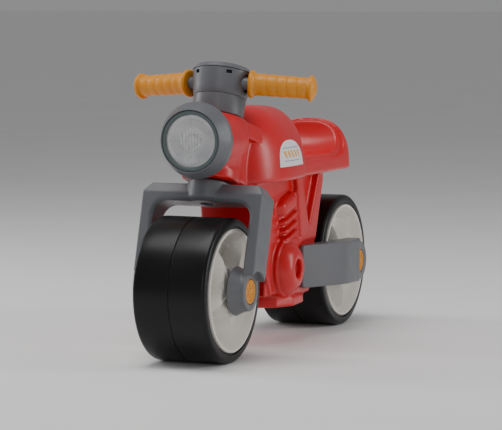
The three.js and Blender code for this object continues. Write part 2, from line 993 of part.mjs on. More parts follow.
function lampBoss(inset) {
  const front = lampBack + fit + inset + 0.5;
  const boss = turnedAlongY(rod(46 - inset, front, 30), 24, 0, lampHeight);
  const top = headGap + headLength - inset - 1;
  const above = block([-60, 60], [-120, 80], [top, top + 80]);
  return cut(boss, tilted(above, -rake));
}

function shape(inset) {
  return join(
    tank(inset),
    seat(inset),
    strut(inset),
    armSeat(inset),
    engine(inset),
    pillar(inset),
    crankCase(inset),
    sump(inset),
    crankCover(inset),
    neck(inset),
    head(inset),
    lampBoss(inset),
  );
}

function bodyShell() {
  const raked = (profile) => tilted(turned(profile, 16), -rake);
  const boreLow = headGap - 5;
  const boreHigh = headGap + headLength + 5;
  const steeringTube = raked(rod(steeringBore + bodyWall, boreLow, boreHigh));
  const lampSocket = turnedAlongY(
    rod(spigotRadius + fit + bodyWall, lampBack - 5, lampBack + spigotLength + 4),
    24,
    0,
    lampHeight,
  );
  const rodTube = turnedAlongX(
    rod(tieRodRadius + fit + bodyWall, -70, 70),
    16,
    tieRodY,
    tieRodZ,
  );
  const cavity = cut(shape(bodyWall), steeringTube, lampSocket, rodTube);
  const blowHole = placed(turnedGeometry(rod(5, -10, 10), 12), 0, plugY, 0);
  return cut(
    shape(0),
    cavity,
    raked(rod(steeringBore, boreLow, boreHigh)),
    turnedAlongY(rod(spigotRadius + fit, lampBack - 5, lampBack + spigotLength + 1), 24, 0, lampHeight),
    turnedAlongX(rod(tieRodRadius + fit, -70, 70), 16, tieRodY, tieRodZ),
    blowHole,
  );
}

function blowPlug() {
  return turned(
    [
      [0, -7],
      [8, -7],
      [8, -4 - fit],
      [4.6, -4 - fit],
      [4.6, 0],
      [0, 0],
    ],
    12,
  );
}

// A sticker that follows the tank's flank.
function sticker() {
  const layer = cut(tank(-0.9), tank(-0.35));
  const arch = sidePlate(
    [
      [97, 17.5],
      [184, 17.5],
      [181, 32],
      [172, 45],
      [160, 51.5],
      [147, 53.5],
      [131, 51],
      [113, 41],
      [102, 29],
    ],
    30,
    90,
  );
  return layer.intersect(arch);
}

// ---------- Headlight ----------

function lampBezel() {
  const tray = trimRadius - 9;
  return turnedAlongY(
    [
      [spigotRadius - 4, lampBack + spigotLength],
      [spigotRadius - 4, lampBack - 4],
      [tray, lampBack - 4],
      [tray + 9 - fit, lampBack - 18],
      [trimRadius + fit, lampFront],
      [trimRadius + 6.4, lampFront + 11],
      [lampRadius, lampFront + 21],
      [lampRadius, lampBack - 6],
      [lampRadius - 6, lampBack],
      [spigotRadius, lampBack],
      [spigotRadius, lampBack + spigotLength],
    ],
    24,
    0,
    lampHeight,
  );
}

function onLamp(profile, segments) {
  return turnedAlongY(profile, segments, 0, lampHeight);
}

function buildHeadlight(parent) {
  add(parent, "headlight_bezel", lampBezel(), "grey");
  const ring = tube(lensRadius + fit, trimRadius - fit, lampFront + 0.6, lampFront + 8);
  add(parent, "headlight_trim_ring", onLamp(ring, 24), "trim");
  const lens = rod(lensRadius, lampFront + 2.6, lampFront + 5.2);
  add(parent, "headlight_lens", onLamp(lens, 24), "lens");
  const back = lampFront + 5.2 + fit;
  const reflector = [
    [0, back + 8],
    [12, back + 10],
    [16, back + 18],
    [31, back],
    [lensRadius, back],
    [lensRadius, back + 2],
    [22, back + 20],
    [0, back + 20],
  ];
  add(parent, "headlight_reflector", onLamp(reflector, 20), "mirror");
}

// ---------- Rear arms ----------

function arm() {
  const low = armLow;
  const high = low + armHeight;
  const knee = rearHubInBody - 86;
  const tip = rearHubInBody - 28;
  const foot = armSeatHalfWidth + fit;
  const splay = Math.atan2(armReach - foot - 6, knee - armFront);
  const bend = arc(armReach - armBend, knee + 10, armBend, -splay, 0, 4);
  const plate = slab(
    [
      [foot, armFront],
      [foot + 6, armFront],
      ...bend,
      [armReach, tip],
      [dropOutFace, tip],
      [dropOutFace, rearHubInBody],
      [dropOutInner, rearHubInBody],
      [dropOutInner, knee + 4],
      [foot, strutHeel + 2],
    ],
    low,
    high,
  );
  const corner = (z, from) => arc(armFront + armCorner, z, armCorner, from, from + Math.PI / 2, 3);
  const rounded = sidePlate(
    [
      ...corner(low + armCorner, Math.PI),
      [rearHubInBody + 50, low],
      [rearHubInBody + 50, high],
      ...corner(high - armCorner, Math.PI / 2),
    ],
    foot - 5,
    armReach + 5,
  );
  const pocket = slab(
    [
      [foot + armWall, strutHeel - 22],
      [foot + armWall + 12, strutHeel - 22],
      [armReach - armWall, knee + 2],
      [armReach - armWall, tip - armWall],
      [dropOutInner - 9, tip - armWall],
      [dropOutInner - 9, strutHeel + 20],
      [foot + armWall, strutHeel + 8],
    ],
    low + armWall,
    high - armWall,
  );
  const hubY = rearHubInBody;
  const hubZ = hubHeightInBody;
  const beam = tilted(cut(plate.intersect(rounded), pocket), -armTilt, hubY, hubZ);
  const boss = turnedAlongX(rod(armHubRadius, dropOutInner, dropOutFace), 20, hubY, hubZ);
  const rodHole = turnedAlongX(
    rod(tieRodRadius + fit, foot - 5, foot + 9),
    16,
    tieRodY,
    tieRodZ,
  );
  return cut(join(beam, boss), ...axleBores(hubY, hubZ), rodHole);
}

function buildFrame() {
  const frame = group(bike, datumY, datumZ);
  add(frame, "body_shell", bodyShell(), "red");
  add(frame, "blow_plug", blowPlug(), "nylon").position.y = plugY;
  addPair(frame, "tank_sticker", sticker(), "sticker");
  buildHeadlight(frame);
  addPair(frame, "rear_arm", arm(), "grey");
  const reach = armSeatHalfWidth + 8;
  const tieRod = turnedAlongX(rod(tieRodRadius, -reach, reach), 16, tieRodY, tieRodZ);
  add(frame, "arm_tie_rod", tieRod, "steel");
  const raked = group(bike, frontHubY, axleHeight, -rake);
  const lower = steeringBush(
    crownTop + fit,
    headLow - fit,
    headLow - fit - 0.1,
    headLow + steeringBushLength,
  );
  const upper = steeringBush(
    headTop + fit,
    sleeveLow - fit,
    headTop - steeringBushLength,
    headTop + fit + 0.1,
  );
  add(raked, "lower_steering_bush", lower, "nylon");
  add(raked, "upper_steering_bush", upper, "nylon");
  const level = group(bike, rearHubY, axleHeight);
  axle(level, "rear");
  wheel(level, "rear");
}

buildSteering();
buildFrame();

export default bike;
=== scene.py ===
"""A toddler's foot-to-floor ride-on motorbike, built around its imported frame.

Shapes are worked out in millimetres and placed in metres. The bike faces -Y, +Z is up and the
rider's left is +X. Moulded pieces are distance fields turned into smooth meshes, and round pieces
are filleted outlines turned about an axis.
"""
import json
import math

import bmesh
import bpy
import numpy as np
import openvdb
from mathutils import Matrix, Vector


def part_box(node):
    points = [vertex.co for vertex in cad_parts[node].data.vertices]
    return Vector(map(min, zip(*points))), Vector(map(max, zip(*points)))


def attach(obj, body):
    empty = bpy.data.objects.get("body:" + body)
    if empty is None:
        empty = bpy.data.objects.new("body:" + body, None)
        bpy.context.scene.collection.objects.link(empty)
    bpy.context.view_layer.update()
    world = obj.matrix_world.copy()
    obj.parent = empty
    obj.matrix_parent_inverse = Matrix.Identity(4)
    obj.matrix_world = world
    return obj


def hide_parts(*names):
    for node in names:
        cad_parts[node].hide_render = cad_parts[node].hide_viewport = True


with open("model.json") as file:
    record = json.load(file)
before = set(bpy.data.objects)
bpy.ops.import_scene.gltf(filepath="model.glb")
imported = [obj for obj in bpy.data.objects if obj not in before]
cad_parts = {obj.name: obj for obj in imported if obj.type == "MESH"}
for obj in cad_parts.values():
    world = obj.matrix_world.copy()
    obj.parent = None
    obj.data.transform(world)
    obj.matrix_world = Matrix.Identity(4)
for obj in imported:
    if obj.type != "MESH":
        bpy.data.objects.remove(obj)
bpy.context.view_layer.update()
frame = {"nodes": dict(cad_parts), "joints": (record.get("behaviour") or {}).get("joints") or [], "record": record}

MM = 0.001
FIT = 0.3
SIDES = ("left", "right")
NODES = frame["nodes"]

# ---------- What the frame says ----------


def joint(name):
    return next(j for j in frame["joints"] if j["name"] == name)


def corners(node):
    low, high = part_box(node)
    return np.array(low) / MM, np.array(high) / MM


def vertices_of(node):
    return np.array([v.co for v in NODES[node].data.vertices]) / MM


AXIS = np.array(joint("steering_turn")["axis"])
FRONT_HUB = np.array(joint("steering_turn")["pos_m"]) / MM
REAR_HUB = np.array(joint("rear_wheel_spin")["pos_m"]) / MM
RAKE = math.atan2(AXIS[1], AXIS[2])


def span_on_axis(node):
    """Lowest and highest point of a node, measured up the steering axis from the front hub."""
    along = (vertices_of(node) - FRONT_HUB) @ AXIS
    return along.min(), along.max()


WHEEL_RADIUS = corners("front_tyre")[1][2] - FRONT_HUB[2]
TYRE_HALF = corners("front_tyre")[1][0]
RIM_RADIUS = corners("front_hub_left")[1][2] - FRONT_HUB[2]
RIM_HALF = corners("front_hub_left")[1][0]
FORK_HALF = corners("front_fork")[1][0]
CROWN_TOP = round(span_on_axis("front_fork")[1], 1)
SLEEVE_LOW, SLEEVE_TOP = span_on_axis("steering_sleeve")
CAP_LOW, CAP_TOP = span_on_axis("steering_cap")
LID_TOP = span_on_axis("steering_cap_lid")[1]
CAP_RADIUS = corners("steering_cap")[1][0]
SLEEVE_RADIUS = corners("steering_sleeve")[1][0]
DATUM = FRONT_HUB + AXIS * CROWN_TOP
ARM_LOW, ARM_HIGH = corners("rear_arm_left")
BUTTON_RADIUS = corners("front_axle_cap_left")[1][2] - FRONT_HUB[2]
BUTTON_FACE = corners("front_axle_cap_left")[1][0]
LAMP_LOW, LAMP_HIGH = corners("headlight_bezel")
LAMP_HEIGHT = (LAMP_LOW[2] + LAMP_HIGH[2]) / 2
SHELL_LOW, SHELL_HIGH = (corner - DATUM for corner in corners("body_shell"))

# ---------- Materials ----------

NOISE_RANGE = (0.3, 0.7)


class Look:
    """A material being built: its shader, and the nodes that vary it."""

    def __init__(self, name):
        self.material = bpy.data.materials.new(name)
        self.material.use_nodes = True
        self.nodes = self.material.node_tree.nodes
        self.link = self.material.node_tree.links.new
        self.shader = self.nodes["Principled BSDF"].inputs

    def noise(self, scale, detail=3.0, stretch=(1, 1, 1)):
        """Noise over the piece's own coordinates, in metres."""
        place = self.nodes.new("ShaderNodeTexCoord")
        mapping = self.nodes.new("ShaderNodeMapping")
        mapping.inputs["Scale"].default_value = stretch
        made = self.nodes.new("ShaderNodeTexNoise")
        made.inputs["Scale"].default_value = scale
        made.inputs["Detail"].default_value = detail
        self.link(place.outputs["Object"], mapping.inputs["Vector"])
        self.link(mapping.outputs["Vector"], made.inputs["Vector"])
        return made.outputs["Fac"]

    def tint(self, source, low, high):
        """Base colour that runs from low to high over the noise's middle range."""
        made = self.nodes.new("ShaderNodeValToRGB")
        for stop, position, color in zip(made.color_ramp.elements, NOISE_RANGE, (low, high)):
            stop.position = position
            stop.color = color
        self.link(source, made.inputs["Fac"])
        self.link(made.outputs["Color"], self.shader["Base Color"])

    def roughen(self, source, low, high):
        """Roughness that runs from low to high over the noise's middle range."""
        made = self.nodes.new("ShaderNodeMapRange")
        made.inputs["From Min"].default_value = NOISE_RANGE[0]
        made.inputs["From Max"].default_value = NOISE_RANGE[1]
        made.inputs["To Min"].default_value = low
        made.inputs["To Max"].default_value = high
        self.link(source, made.inputs["Value"])
        self.link(made.outputs["Result"], self.shader["Roughness"])

    def bump(self, source, depth):
        made = self.nodes.new("ShaderNodeBump")
        made.inputs["Strength"].default_value = 1.0
        made.inputs["Distance"].default_value = depth
        self.link(source, made.inputs["Height"])
        self.link(made.outputs["Normal"], self.shader["Normal"])

    def maths(self, kind, *values):
        made = self.nodes.new("ShaderNodeMath")
        made.operation = kind
        for socket, value in zip(made.inputs, values):
            if isinstance(value, float):
                socket.default_value = value
            else:
                self.link(value, socket)
        return made.outputs[0]

    def band(self, value, low, high):
        """1 where a value lies between two others, 0 elsewhere."""
        above = self.maths("GREATER_THAN", value, low)
        return self.maths("MULTIPLY", above, self.maths("LESS_THAN", value, high))

    def printed(self, ground, mask, ink):
        """A ground, either a colour or a socket, with ink over it where the mask is 1."""
        made = self.nodes.new("ShaderNodeMix")
        made.data_type = "RGBA"
        self.link(mask, made.inputs["Factor"])
        if isinstance(ground, tuple):
            made.inputs[6].default_value = ground
        else:
            self.link(ground, made.inputs[6])
        made.inputs[7].default_value = ink
        return made.outputs[2]


def shade(color, factor):
    return [min(1.0, c * factor) for c in color[:3]] + [1.0]


def moulded(name, color, rough, vary=0.05, grain=1400, coat=0.0):
    """Moulded plastic: cloudy colour, fine grain, and shine that changes a little with handling."""
    look = Look(name)
    look.tint(look.noise(14, 4), shade(color, 1 - vary), shade(color, 1 + vary))
    look.roughen(look.noise(45, 6), rough - 0.05, rough + 0.06)
    look.bump(look.noise(grain, 2), 0.00004)
    look.shader["Coat Weight"].default_value = coat
    look.shader["Coat Roughness"].default_value = 0.25
    return look.material


def brushed(name, color, rough, stretch=(1, 12, 12)):
    """Bright metal with drawn lines along it."""
    look = Look(name)
    lines = look.noise(300, 4, stretch)
    look.tint(lines, shade(color, 0.85), shade(color, 1.1))
    look.roughen(lines, rough - 0.08, rough + 0.1)
    look.bump(lines, 0.00001)
    look.shader["Metallic"].default_value = 1.0
    return look.material


def rubber(name):
    """Soft black tread, shinier where it has been rubbed."""
    look = Look(name)
    color = (0.005, 0.005, 0.0055)
    cloud = look.noise(18, 5)
    look.tint(cloud, shade(color, 0.85), shade(color, 1.3))
    look.roughen(cloud, 0.27, 0.35)
    look.bump(look.noise(2200, 2), 0.00003)
    look.shader["Specular IOR Level"].default_value = 0.26
    return look.material


def clear_lens(name):
    look = Look(name)
    haze = look.noise(60, 3)
    look.tint(haze, (0.93, 0.94, 0.95, 1), (1, 1, 1, 1))
    look.roughen(haze, 0.05, 0.12)
    look.bump(look.noise(900, 2), 0.00001)
    look.shader["Transmission Weight"].default_value = 0.9
    look.shader["IOR"].default_value = 1.46
    return look.material


def printed_film(name):
    """White film printed with two fine lines and a row of slanted blocks between them."""
    look = Look(name)
    place = look.nodes.new("ShaderNodeUVMap")
    split = look.nodes.new("ShaderNodeSeparateXYZ")
    look.link(place.outputs["UV"], split.inputs["Vector"])
    across, up = split.outputs["X"], split.outputs["Y"]
    slanted = look.maths("ADD", across, look.maths("MULTIPLY", up, 0.25))
    pitch = look.maths("FRACT", look.maths("MULTIPLY", slanted, 7.0))
    inside = look.band(across, 0.16, 0.84)
    row = look.maths("MULTIPLY", look.band(pitch, 0.12, 0.72), look.band(up, 0.34, 0.6))
    blocks = look.maths("MULTIPLY", row, inside)
    both_lines = look.maths("ADD", look.band(up, 0.2, 0.23), look.band(up, 0.7, 0.73))
    lines = look.maths("MULTIPLY", both_lines, inside)
    film = look.printed((0.80, 0.78, 0.78, 1), lines, (0.22, 0.25, 0.36, 1))
    film = look.printed(film, blocks, (0.83, 0.42, 0.08, 1))
    look.link(film, look.shader["Base Color"])
    look.roughen(look.noise(90, 4), 0.28, 0.4)
    return look.material


LOOKS = {
    "red_plastic": moulded("red_plastic", (0.60, 0.002, 0.006), 0.33, vary=0.04, coat=0.15),
    "grey_plastic": moulded("grey_plastic", (0.125, 0.13, 0.142), 0.38, grain=1800),
    "yellow_plastic": moulded("yellow_plastic", (0.72, 0.27, 0.006), 0.42, grain=1600),
    "cream_plastic": moulded("cream_plastic", (0.72, 0.69, 0.63), 0.38, vary=0.02),
    "dark_trim": moulded("dark_trim", (0.085, 0.11, 0.11), 0.42),
    "black_nylon": moulded("black_nylon", (0.02, 0.02, 0.021), 0.45, vary=0.15),
    "tyre": rubber("tyre"),
    "lens": clear_lens("lens"),
    "reflector": brushed("reflector", (0.92, 0.92, 0.94), 0.5, (0.2, 0.2, 0.2)),
    "steel": brushed("steel", (0.62, 0.63, 0.65), 0.32),
    "sticker": printed_film("sticker"),
}

# ---------- Outlines and round pieces ----------


def placed(name, data):
    data.name = name
    made = bpy.data.objects.new(name, data)
    bpy.context.scene.collection.objects.link(made)
    return made


def finish_piece(name, mesh, body, slot, replaced=(), sharp=40, look=None):
    """Makes the object, smooths it but for edges over sharp degrees, and puts it on its body."""
    for polygon in mesh.polygons:
        polygon.use_smooth = True
    mesh.set_sharp_from_angle(angle=math.radians(sharp))
    mesh.materials.append(LOOKS[look or slot])
    made = placed(name, mesh)
    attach(made, body)
    if replaced:
        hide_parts(*replaced)
    return made


def stand_in(node, mesh, body, slot, sharp=40):
    """Finishes a piece that takes the place of one node of the frame."""
    return finish_piece(node + "_piece", mesh, body, slot, [node], sharp)


def soften(piece, width, segments, limit=None):
    """Bevels a piece's edges, or only those over limit degrees."""
    edge = piece.modifiers.new("soft_edges", "BEVEL")
    edge.width = width * MM
    edge.segments = segments
    edge.limit_method = "ANGLE"
    if limit:
        edge.angle_limit = math.radians(limit)


def mesh_from(points, faces):
    mesh = bpy.data.meshes.new("shape")
    mesh.from_pydata((np.asarray(points) * MM).tolist(), [], faces)
    mesh.validate()
    return mesh


def edit(mesh, change):
    """Opens a mesh as a bmesh, changes it and writes it back."""
    made = bmesh.new()
    made.from_mesh(mesh)
    change(made)
    made.to_mesh(mesh)
    made.free()
    return mesh


def face_out(made):
    bmesh.ops.recalc_face_normals(made, faces=made.faces)


def small_block(size, place):
    """A box of this size about a place, both in millimetres."""
    mesh = edit(bpy.data.meshes.new("block"), lambda made: bmesh.ops.create_cube(made, size=1))
    mesh.transform(Matrix.Diagonal([length * MM for length in size] + [1]))
    mesh.transform(in_metres(place))
    return mesh


def mirrored(mesh):
    """The other side's copy of a mesh: flipped across the centre plane."""
    mesh.transform(Matrix.Diagonal((-1, 1, 1, 1)))
    mesh.flip_normals()


def filleted(outline, steps=5):
    """A closed outline whose corners, given as (u, v, radius), are rounded by arcs."""
    points = []
    count = len(outline)
    for i, (u, v, radius) in enumerate(outline):
        here = np.array([u, v], float)
        before = np.array(outline[i - 1][:2], float) - here
        after = np.array(outline[(i + 1) % count][:2], float) - here
        reach_in, reach_out = np.linalg.norm(before), np.linalg.norm(after)
        if radius <= 0 or min(reach_in, reach_out) < 1e-6:
            points.append(here)
            continue
        before, after = before / reach_in, after / reach_out
        half = math.acos(np.clip(before @ after, -1, 1)) / 2
        if half < 0.05 or half > math.pi / 2 - 0.02:
            points.append(here)
            continue
        run = min(radius / math.tan(half), reach_in * 0.49, reach_out * 0.49)
        radius = run * math.tan(half)
        centre = here + (before + after) / np.linalg.norm(before + after) * radius / math.sin(half)
        start, end = here + before * run - centre, here + after * run - centre
        turn = math.atan2(start[0] * end[1] - start[1] * end[0], start @ end)
        for k in range(steps + 1):
            angle = turn * k / steps
            c, s = math.cos(angle), math.sin(angle)
            points.append(centre + [start[0] * c - start[1] * s, start[0] * s + start[1] * c])
    return points


def weld(made):
    """Joins doubled points, drops faces that have closed up, and turns every face out."""
    bmesh.ops.remove_doubles(made, verts=made.verts, dist=2e-6)
    bmesh.ops.dissolve_degenerate(made, edges=made.edges, dist=1e-7)
    face_out(made)


def turned(profile, place, segments=96):
    """A (radius, height, fillet) profile turned about Z, then moved by place, in millimetres."""
    ring = filleted(profile)
    count = len(ring)
    points, faces = [], []
    for i in range(segments):
        angle = 2 * math.pi * i / segments
        c, s = math.cos(angle), math.sin(angle)
        points.extend([r * c, r * s, h] for r, h in ring)
        here, after = i * count, (i + 1) % segments * count
        for k in range(count):
            n = (k + 1) % count
            faces.append((here + k, after + k, after + n, here + n))
    mesh = edit(mesh_from(points, faces), weld)
    mesh.transform(in_metres(place))
    return mesh


def in_metres(place):
    made = place.copy()
    made.translation *= MM
    return made


def axis_x(hub, side=1):
    """Z runs out along +X or -X from a hub."""
    return Matrix.Translation(Vector(hub)) @ Matrix.Rotation(side * math.pi / 2, 4, "Y")


def axis_forward(y, z):
    """Z runs along +Y, from a point on the centre plane."""
    return Matrix.Translation((0, y, z)) @ Matrix.Rotation(-math.pi / 2, 4, "X")


STEER = Matrix.Translation(Vector(FRONT_HUB)) @ Matrix.Rotation(-RAKE, 4, "X")
BODY = Matrix.Translation(Vector(DATUM))

# ---------- Distance fields ----------

SMOOTH_PASSES = 2


def smooth_min(a, b, radius):
    share = np.clip(0.5 + 0.5 * (b - a) / radius, 0, 1)
    return b + (a - b) * share - radius * share * (1 - share)


def smooth_max(a, b, radius):
    return -smooth_min(-a, -b, radius)


def join(radius, *fields):
    made = fields[0]
    for field in fields[1:]:
        made = smooth_min(made, field, radius)
    return made


def cut(field, tool, radius=1.5):
    return smooth_max(field, -tool, radius)


def rounded_both(a, b, radius):
    """Where two distances are both inside, with the edge between them rounded."""
    outside = np.hypot(np.maximum(a + radius, 0), np.maximum(b + radius, 0))
    return outside + np.minimum(np.maximum(a + radius, b + radius), 0) - radius


def between(value, low, high):
    return np.abs(value - (low + high) / 2) - (high - low) / 2


def turned_axes(u, v, angle):
    """Two coordinates measured along axes turned by an angle."""
    c, s = math.cos(angle), math.sin(angle)
    return u * c + v * s, v * c - u * s


def box_field(x, y, z, low, high, radius):
    """An upright box with rounded edges, between two corners."""
    sides = [between(v, a, b) + radius for v, a, b in zip((x, y, z), low, high)]
    outside = np.sqrt(sum(np.maximum(side, 0) ** 2 for side in sides))
    inside = np.minimum(np.maximum(np.maximum(sides[0], sides[1]), sides[2]), 0)
    return outside + inside - radius


def polygon_field(u, v, outline):
    """Exact distance to a closed outline, negative inside."""
    u, v = np.broadcast_arrays(u, v)
    nearest = np.full(u.shape, 1e9, np.float32)
    inside = np.zeros(u.shape, bool)
    for i, (bu, bv) in enumerate(outline):
        au, av = outline[i - 1]
        du, dv = bu - au, bv - av
        share = np.clip(((u - au) * du + (v - av) * dv) / (du * du + dv * dv), 0, 1)
        gap = (u - au - share * du) ** 2 + (v - av - share * dv) ** 2
        nearest = np.minimum(nearest, gap)
        crosses = (av > v) != (bv > v)
        if dv:
            inside ^= crosses & (u < au + (v - av) * du / dv)
    return np.where(inside, -1, 1) * np.sqrt(nearest)


def plate_field(u, v, w, outline, low, high, radius):
    """An outline given as corners in u and v, thickened along w, with rounded edges."""
    flat = polygon_field(u, v, outline)
    return rounded_both(flat, between(w, low, high), radius)


def rod_field(u, v, w, radius, low, high, edge=1.0):
    return rounded_both(np.hypot(u, v) - radius, between(w, low, high), edge)


def drop_crumbs(made):
    """Keeps the largest connected part of a mesh."""
    waiting = set(made.verts)
    parts = []
    while waiting:
        part, edge = [], [waiting.pop()]
        while edge:
            vertex = edge.pop()
            part.append(vertex)
            near = {link.other_vert(vertex) for link in vertex.link_edges} & waiting
            waiting -= near
            edge.extend(near)
        parts.append(part)
    parts.sort(key=len)
    for part in parts[:-1]:
        bmesh.ops.delete(made, geom=part, context="VERTS")


def tidy_field(made):
    """Evens out the steps of a field's mesh and keeps its largest part."""
    for _ in range(SMOOTH_PASSES):
        bmesh.ops.smooth_vert(
            made, verts=made.verts, factor=0.5, use_axis_x=True, use_axis_y=True, use_axis_z=True
        )
    drop_crumbs(made)
    face_out(made)


def field_mesh(field, low, high, step, place, even=False):
    """Meshes where field(x, y, z) is zero. An even field is worked out for x >= 0 only."""
    low, high = np.array(low, float), np.array(high, float)
    if even:
        low[0] = 0
    axes = [np.arange(a, b + step, step, dtype=np.float32) for a, b in zip(low, high)]
    x, y, z = np.meshgrid(*axes, indexing="ij", sparse=True)
    values = np.broadcast_to(field(x, y, z), [len(axis) for axis in axes]).astype(np.float32)
    start = low.copy()
    if even:
        values = np.concatenate([values[:0:-1], values])
        start[0] = -axes[0][-1]
    grid = openvdb.FloatGrid()
    grid.copyFromArray(np.ascontiguousarray(values))
    points, quads = grid.convertToQuads(0.0)
    points = np.asarray(points) * step + start
    mesh = edit(mesh_from(points, np.asarray(quads).tolist()), tidy_field)
    mesh.transform(in_metres(place))
    return mesh


# ---------- Wheels ----------

SPOKES = 5
SECTOR = 2 * math.pi / SPOKES
SEAM_DEPTH = 1.4
SHOULDER = 9.0
RIM_LIP = 4.5
DISH_DEPTH = 24.0
PLATE_REACH = 31.0
SPOKE_HALF = 15.0
HUB_STEPS = 90
HUB_SHARP = 24
CAP_RIBS = 6
RIB = (7.5, 1.5, 1.2)
AXLE_HOLE = 5.4
RECESS_DEPTH = 9.7
DROP_IN = RIM_HALF + 2.5


def tyre(end, hub_point):
    """A wide tread with a seam groove round its middle and soft shoulders."""
    inner = RIM_RADIUS + FIT
    half = [
        (WHEEL_RADIUS - SEAM_DEPTH, 0, 0.3),
        (WHEEL_RADIUS - 0.1, 1.1, 0.9),
        (WHEEL_RADIUS, TYRE_HALF - SHOULDER * 2, 20),
        (WHEEL_RADIUS, TYRE_HALF, SHOULDER),
        (inner + 3.2, TYRE_HALF, 1.0),
        (inner + 2.4, TYRE_HALF - 2.0, 0.8),
        (inner, TYRE_HALF - 2.0, 0.4),
        (inner, TYRE_HALF - 14, 0),
        (WHEEL_RADIUS - 7, TYRE_HALF - 17, 2),
    ]
    other = [(r, -h, f) for r, h, f in half[:0:-1]]
    mesh = turned(other + half, axis_x(hub_point), 144)
    stand_in(end + "_tyre", mesh, end + "_wheel", "tyre", 50)


def spoke_heights(radius, turn):
    """How far out the hub's face stands at a radius and an angle from the nearest spoke."""
    rim_inside = RIM_RADIUS - RIM_LIP
    floor = RIM_HALF - DISH_DEPTH
    plate = RIM_HALF - 4
    away = abs(turn)
    across = radius * math.sin(away)
    wall = floor + (radius - rim_inside + 15) * 1.25
    dish = min(RIM_HALF - 2.5, max(floor, wall))
    star_reach = PLATE_REACH + 17 * (1 - 2 * away / SECTOR) ** 2
    plate_height = plate - max(0, radius - star_reach) * 3.0
    ridge = plate + 1.5 - max(0, radius - 56) * 0.22 - across * (0.75 + 0.014 * radius)
    if across > SPOKE_HALF:
        ridge = floor
    return max(dish, plate_height, ridge)


def hub(end, side, hub_point):
    """Half a wheel: a rim barrel, a dished face with facetted spokes and a raised star plate."""
    name = end + "_hub_" + side
    bore = corners(end + "_hub_bush_" + side)[1][2] - hub_point[2] + FIT - 5
    angles = [2 * math.pi * i / HUB_STEPS for i in range(HUB_STEPS)]

    def circle(radius, heights):
        return [
            (radius * math.sin(angle), -radius * math.cos(angle), height)
            for angle, height in zip(angles, heights)
        ]

    points, faces = [], []
    for radius in [bore, 20, 28, 33, 37, 41, 45, 49, 53, 56, 59, 62, 65, 68, 71, 74, 77]:
        turns = [(angle + SECTOR / 2) % SECTOR - SECTOR / 2 for angle in angles]
        points += circle(radius, [spoke_heights(radius, turn) for turn in turns])
    rim = [
        (RIM_RADIUS - RIM_LIP, RIM_HALF - 1.2),
        (RIM_RADIUS - 3.6, RIM_HALF - 0.2),
        (RIM_RADIUS - 2.8, RIM_HALF),
        (RIM_RADIUS - 0.8, RIM_HALF),
        (RIM_RADIUS - 0.1, RIM_HALF - 0.6),
        (RIM_RADIUS, RIM_HALF - 1.5),
        (RIM_RADIUS, FIT + 0.4),
        (RIM_RADIUS - 0.4, FIT),
        (RIM_RADIUS - 3.5, FIT),
        (RIM_RADIUS - 7.5, RIM_HALF - DISH_DEPTH - 3),
        (20, RIM_HALF - DISH_DEPTH - 3),
        (20, FIT),
        (bore, FIT),
    ]
    for radius, height in rim:
        points += circle(radius, [height] * HUB_STEPS)
    count = len(points)
    for start in range(0, count, HUB_STEPS):
        after = (start + HUB_STEPS) % count
        for i in range(HUB_STEPS):
            j = (i + 1) % HUB_STEPS
            faces.append((start + i, after + i, after + j, start + j))
    mesh = edit(mesh_from(points, faces), weld)
    mesh.transform(Matrix(((0, 0, 1, 0), (1, 0, 0, 0), (0, 1, 0, 0), (0, 0, 0, 1))))
    mesh.transform(in_metres(Matrix.Translation(Vector(hub_point))))
    if side == "right":
        mirrored(mesh)
    made = stand_in(name, mesh, end + "_wheel", "cream_plastic", HUB_SHARP)
    soften(made, 0.5, 2, HUB_SHARP)


def axle_cap(end, side, hub_point, body):
    """A push-on cap with a dished, ribbed face."""
    sign = 1 if side == "left" else -1
    name = end + "_axle_cap_" + side
    low = abs(corners(name)[0 if sign > 0 else 1][0])
    face = BUTTON_FACE
    profile = [
        (BUTTON_RADIUS - 3, low, 0.3),
        (BUTTON_RADIUS, low, 0.3),
        (BUTTON_RADIUS, face, 1.6),
        (BUTTON_RADIUS - 3.2, face, 0.8),
        (BUTTON_RADIUS - 4.4, face - 1.4, 0.8),
        (5.2, face - 1.4, 0.6),
        (4.4, face - 0.5, 0.6),
        (0, face - 0.5, 0),
        (0, face - 3.2, 0),
        (BUTTON_RADIUS - 3, face - 3.2, 0.3),
    ]
    outward = axis_x(hub_point, sign)
    mesh = turned(profile, outward, 64)
    stand_in(name, mesh, body, "yellow_plastic")
    for i in range(CAP_RIBS):
        turn = Matrix.Rotation(2 * math.pi * i / CAP_RIBS, 4, "Z")
        rib = small_block(RIB, outward @ turn @ Matrix.Translation((8.6, 0, face - 1.2)))
        soften(finish_piece(f"{name}_rib_{i + 1}", rib, body, "yellow_plastic"), 0.45, 3)


def axle_room(boss, u, v, x, face):
    """Cuts the axle's hole and the cap's recess into a boss whose face stands at this x."""
    recess = rod_field(u, v, x, BUTTON_RADIUS + 0.4, face - RECESS_DEPTH, face + 60, 0.2)
    hole = rod_field(u, v, x, AXLE_HOLE, DROP_IN - 5, face, 0.2)
    return cut(cut(boss, recess, 0.8), hole, 0.5)


# ---------- Fork ----------

CROWN_HEIGHT = 30.0
CROWN_SHOULDER = 4.5
CROWN_DEPTH = 23.0
CROWN_BOSS = 30.0
LEG_THICKNESS = 17.5
ARCH_RADIUS = 21.0
FACE_RADIUS = 26.5
HOOD_DEPTH = 10.0
BOSS_FACE = FORK_HALF - HOOD_DEPTH
SHOULDER_SLOPE = (0.871, 0.491)
DIAGONAL = 0.707
STEM_SOCKET, BOLT_HOLE, BOLT_HEAD_ROOM = 12.5, 3.5, 9.0


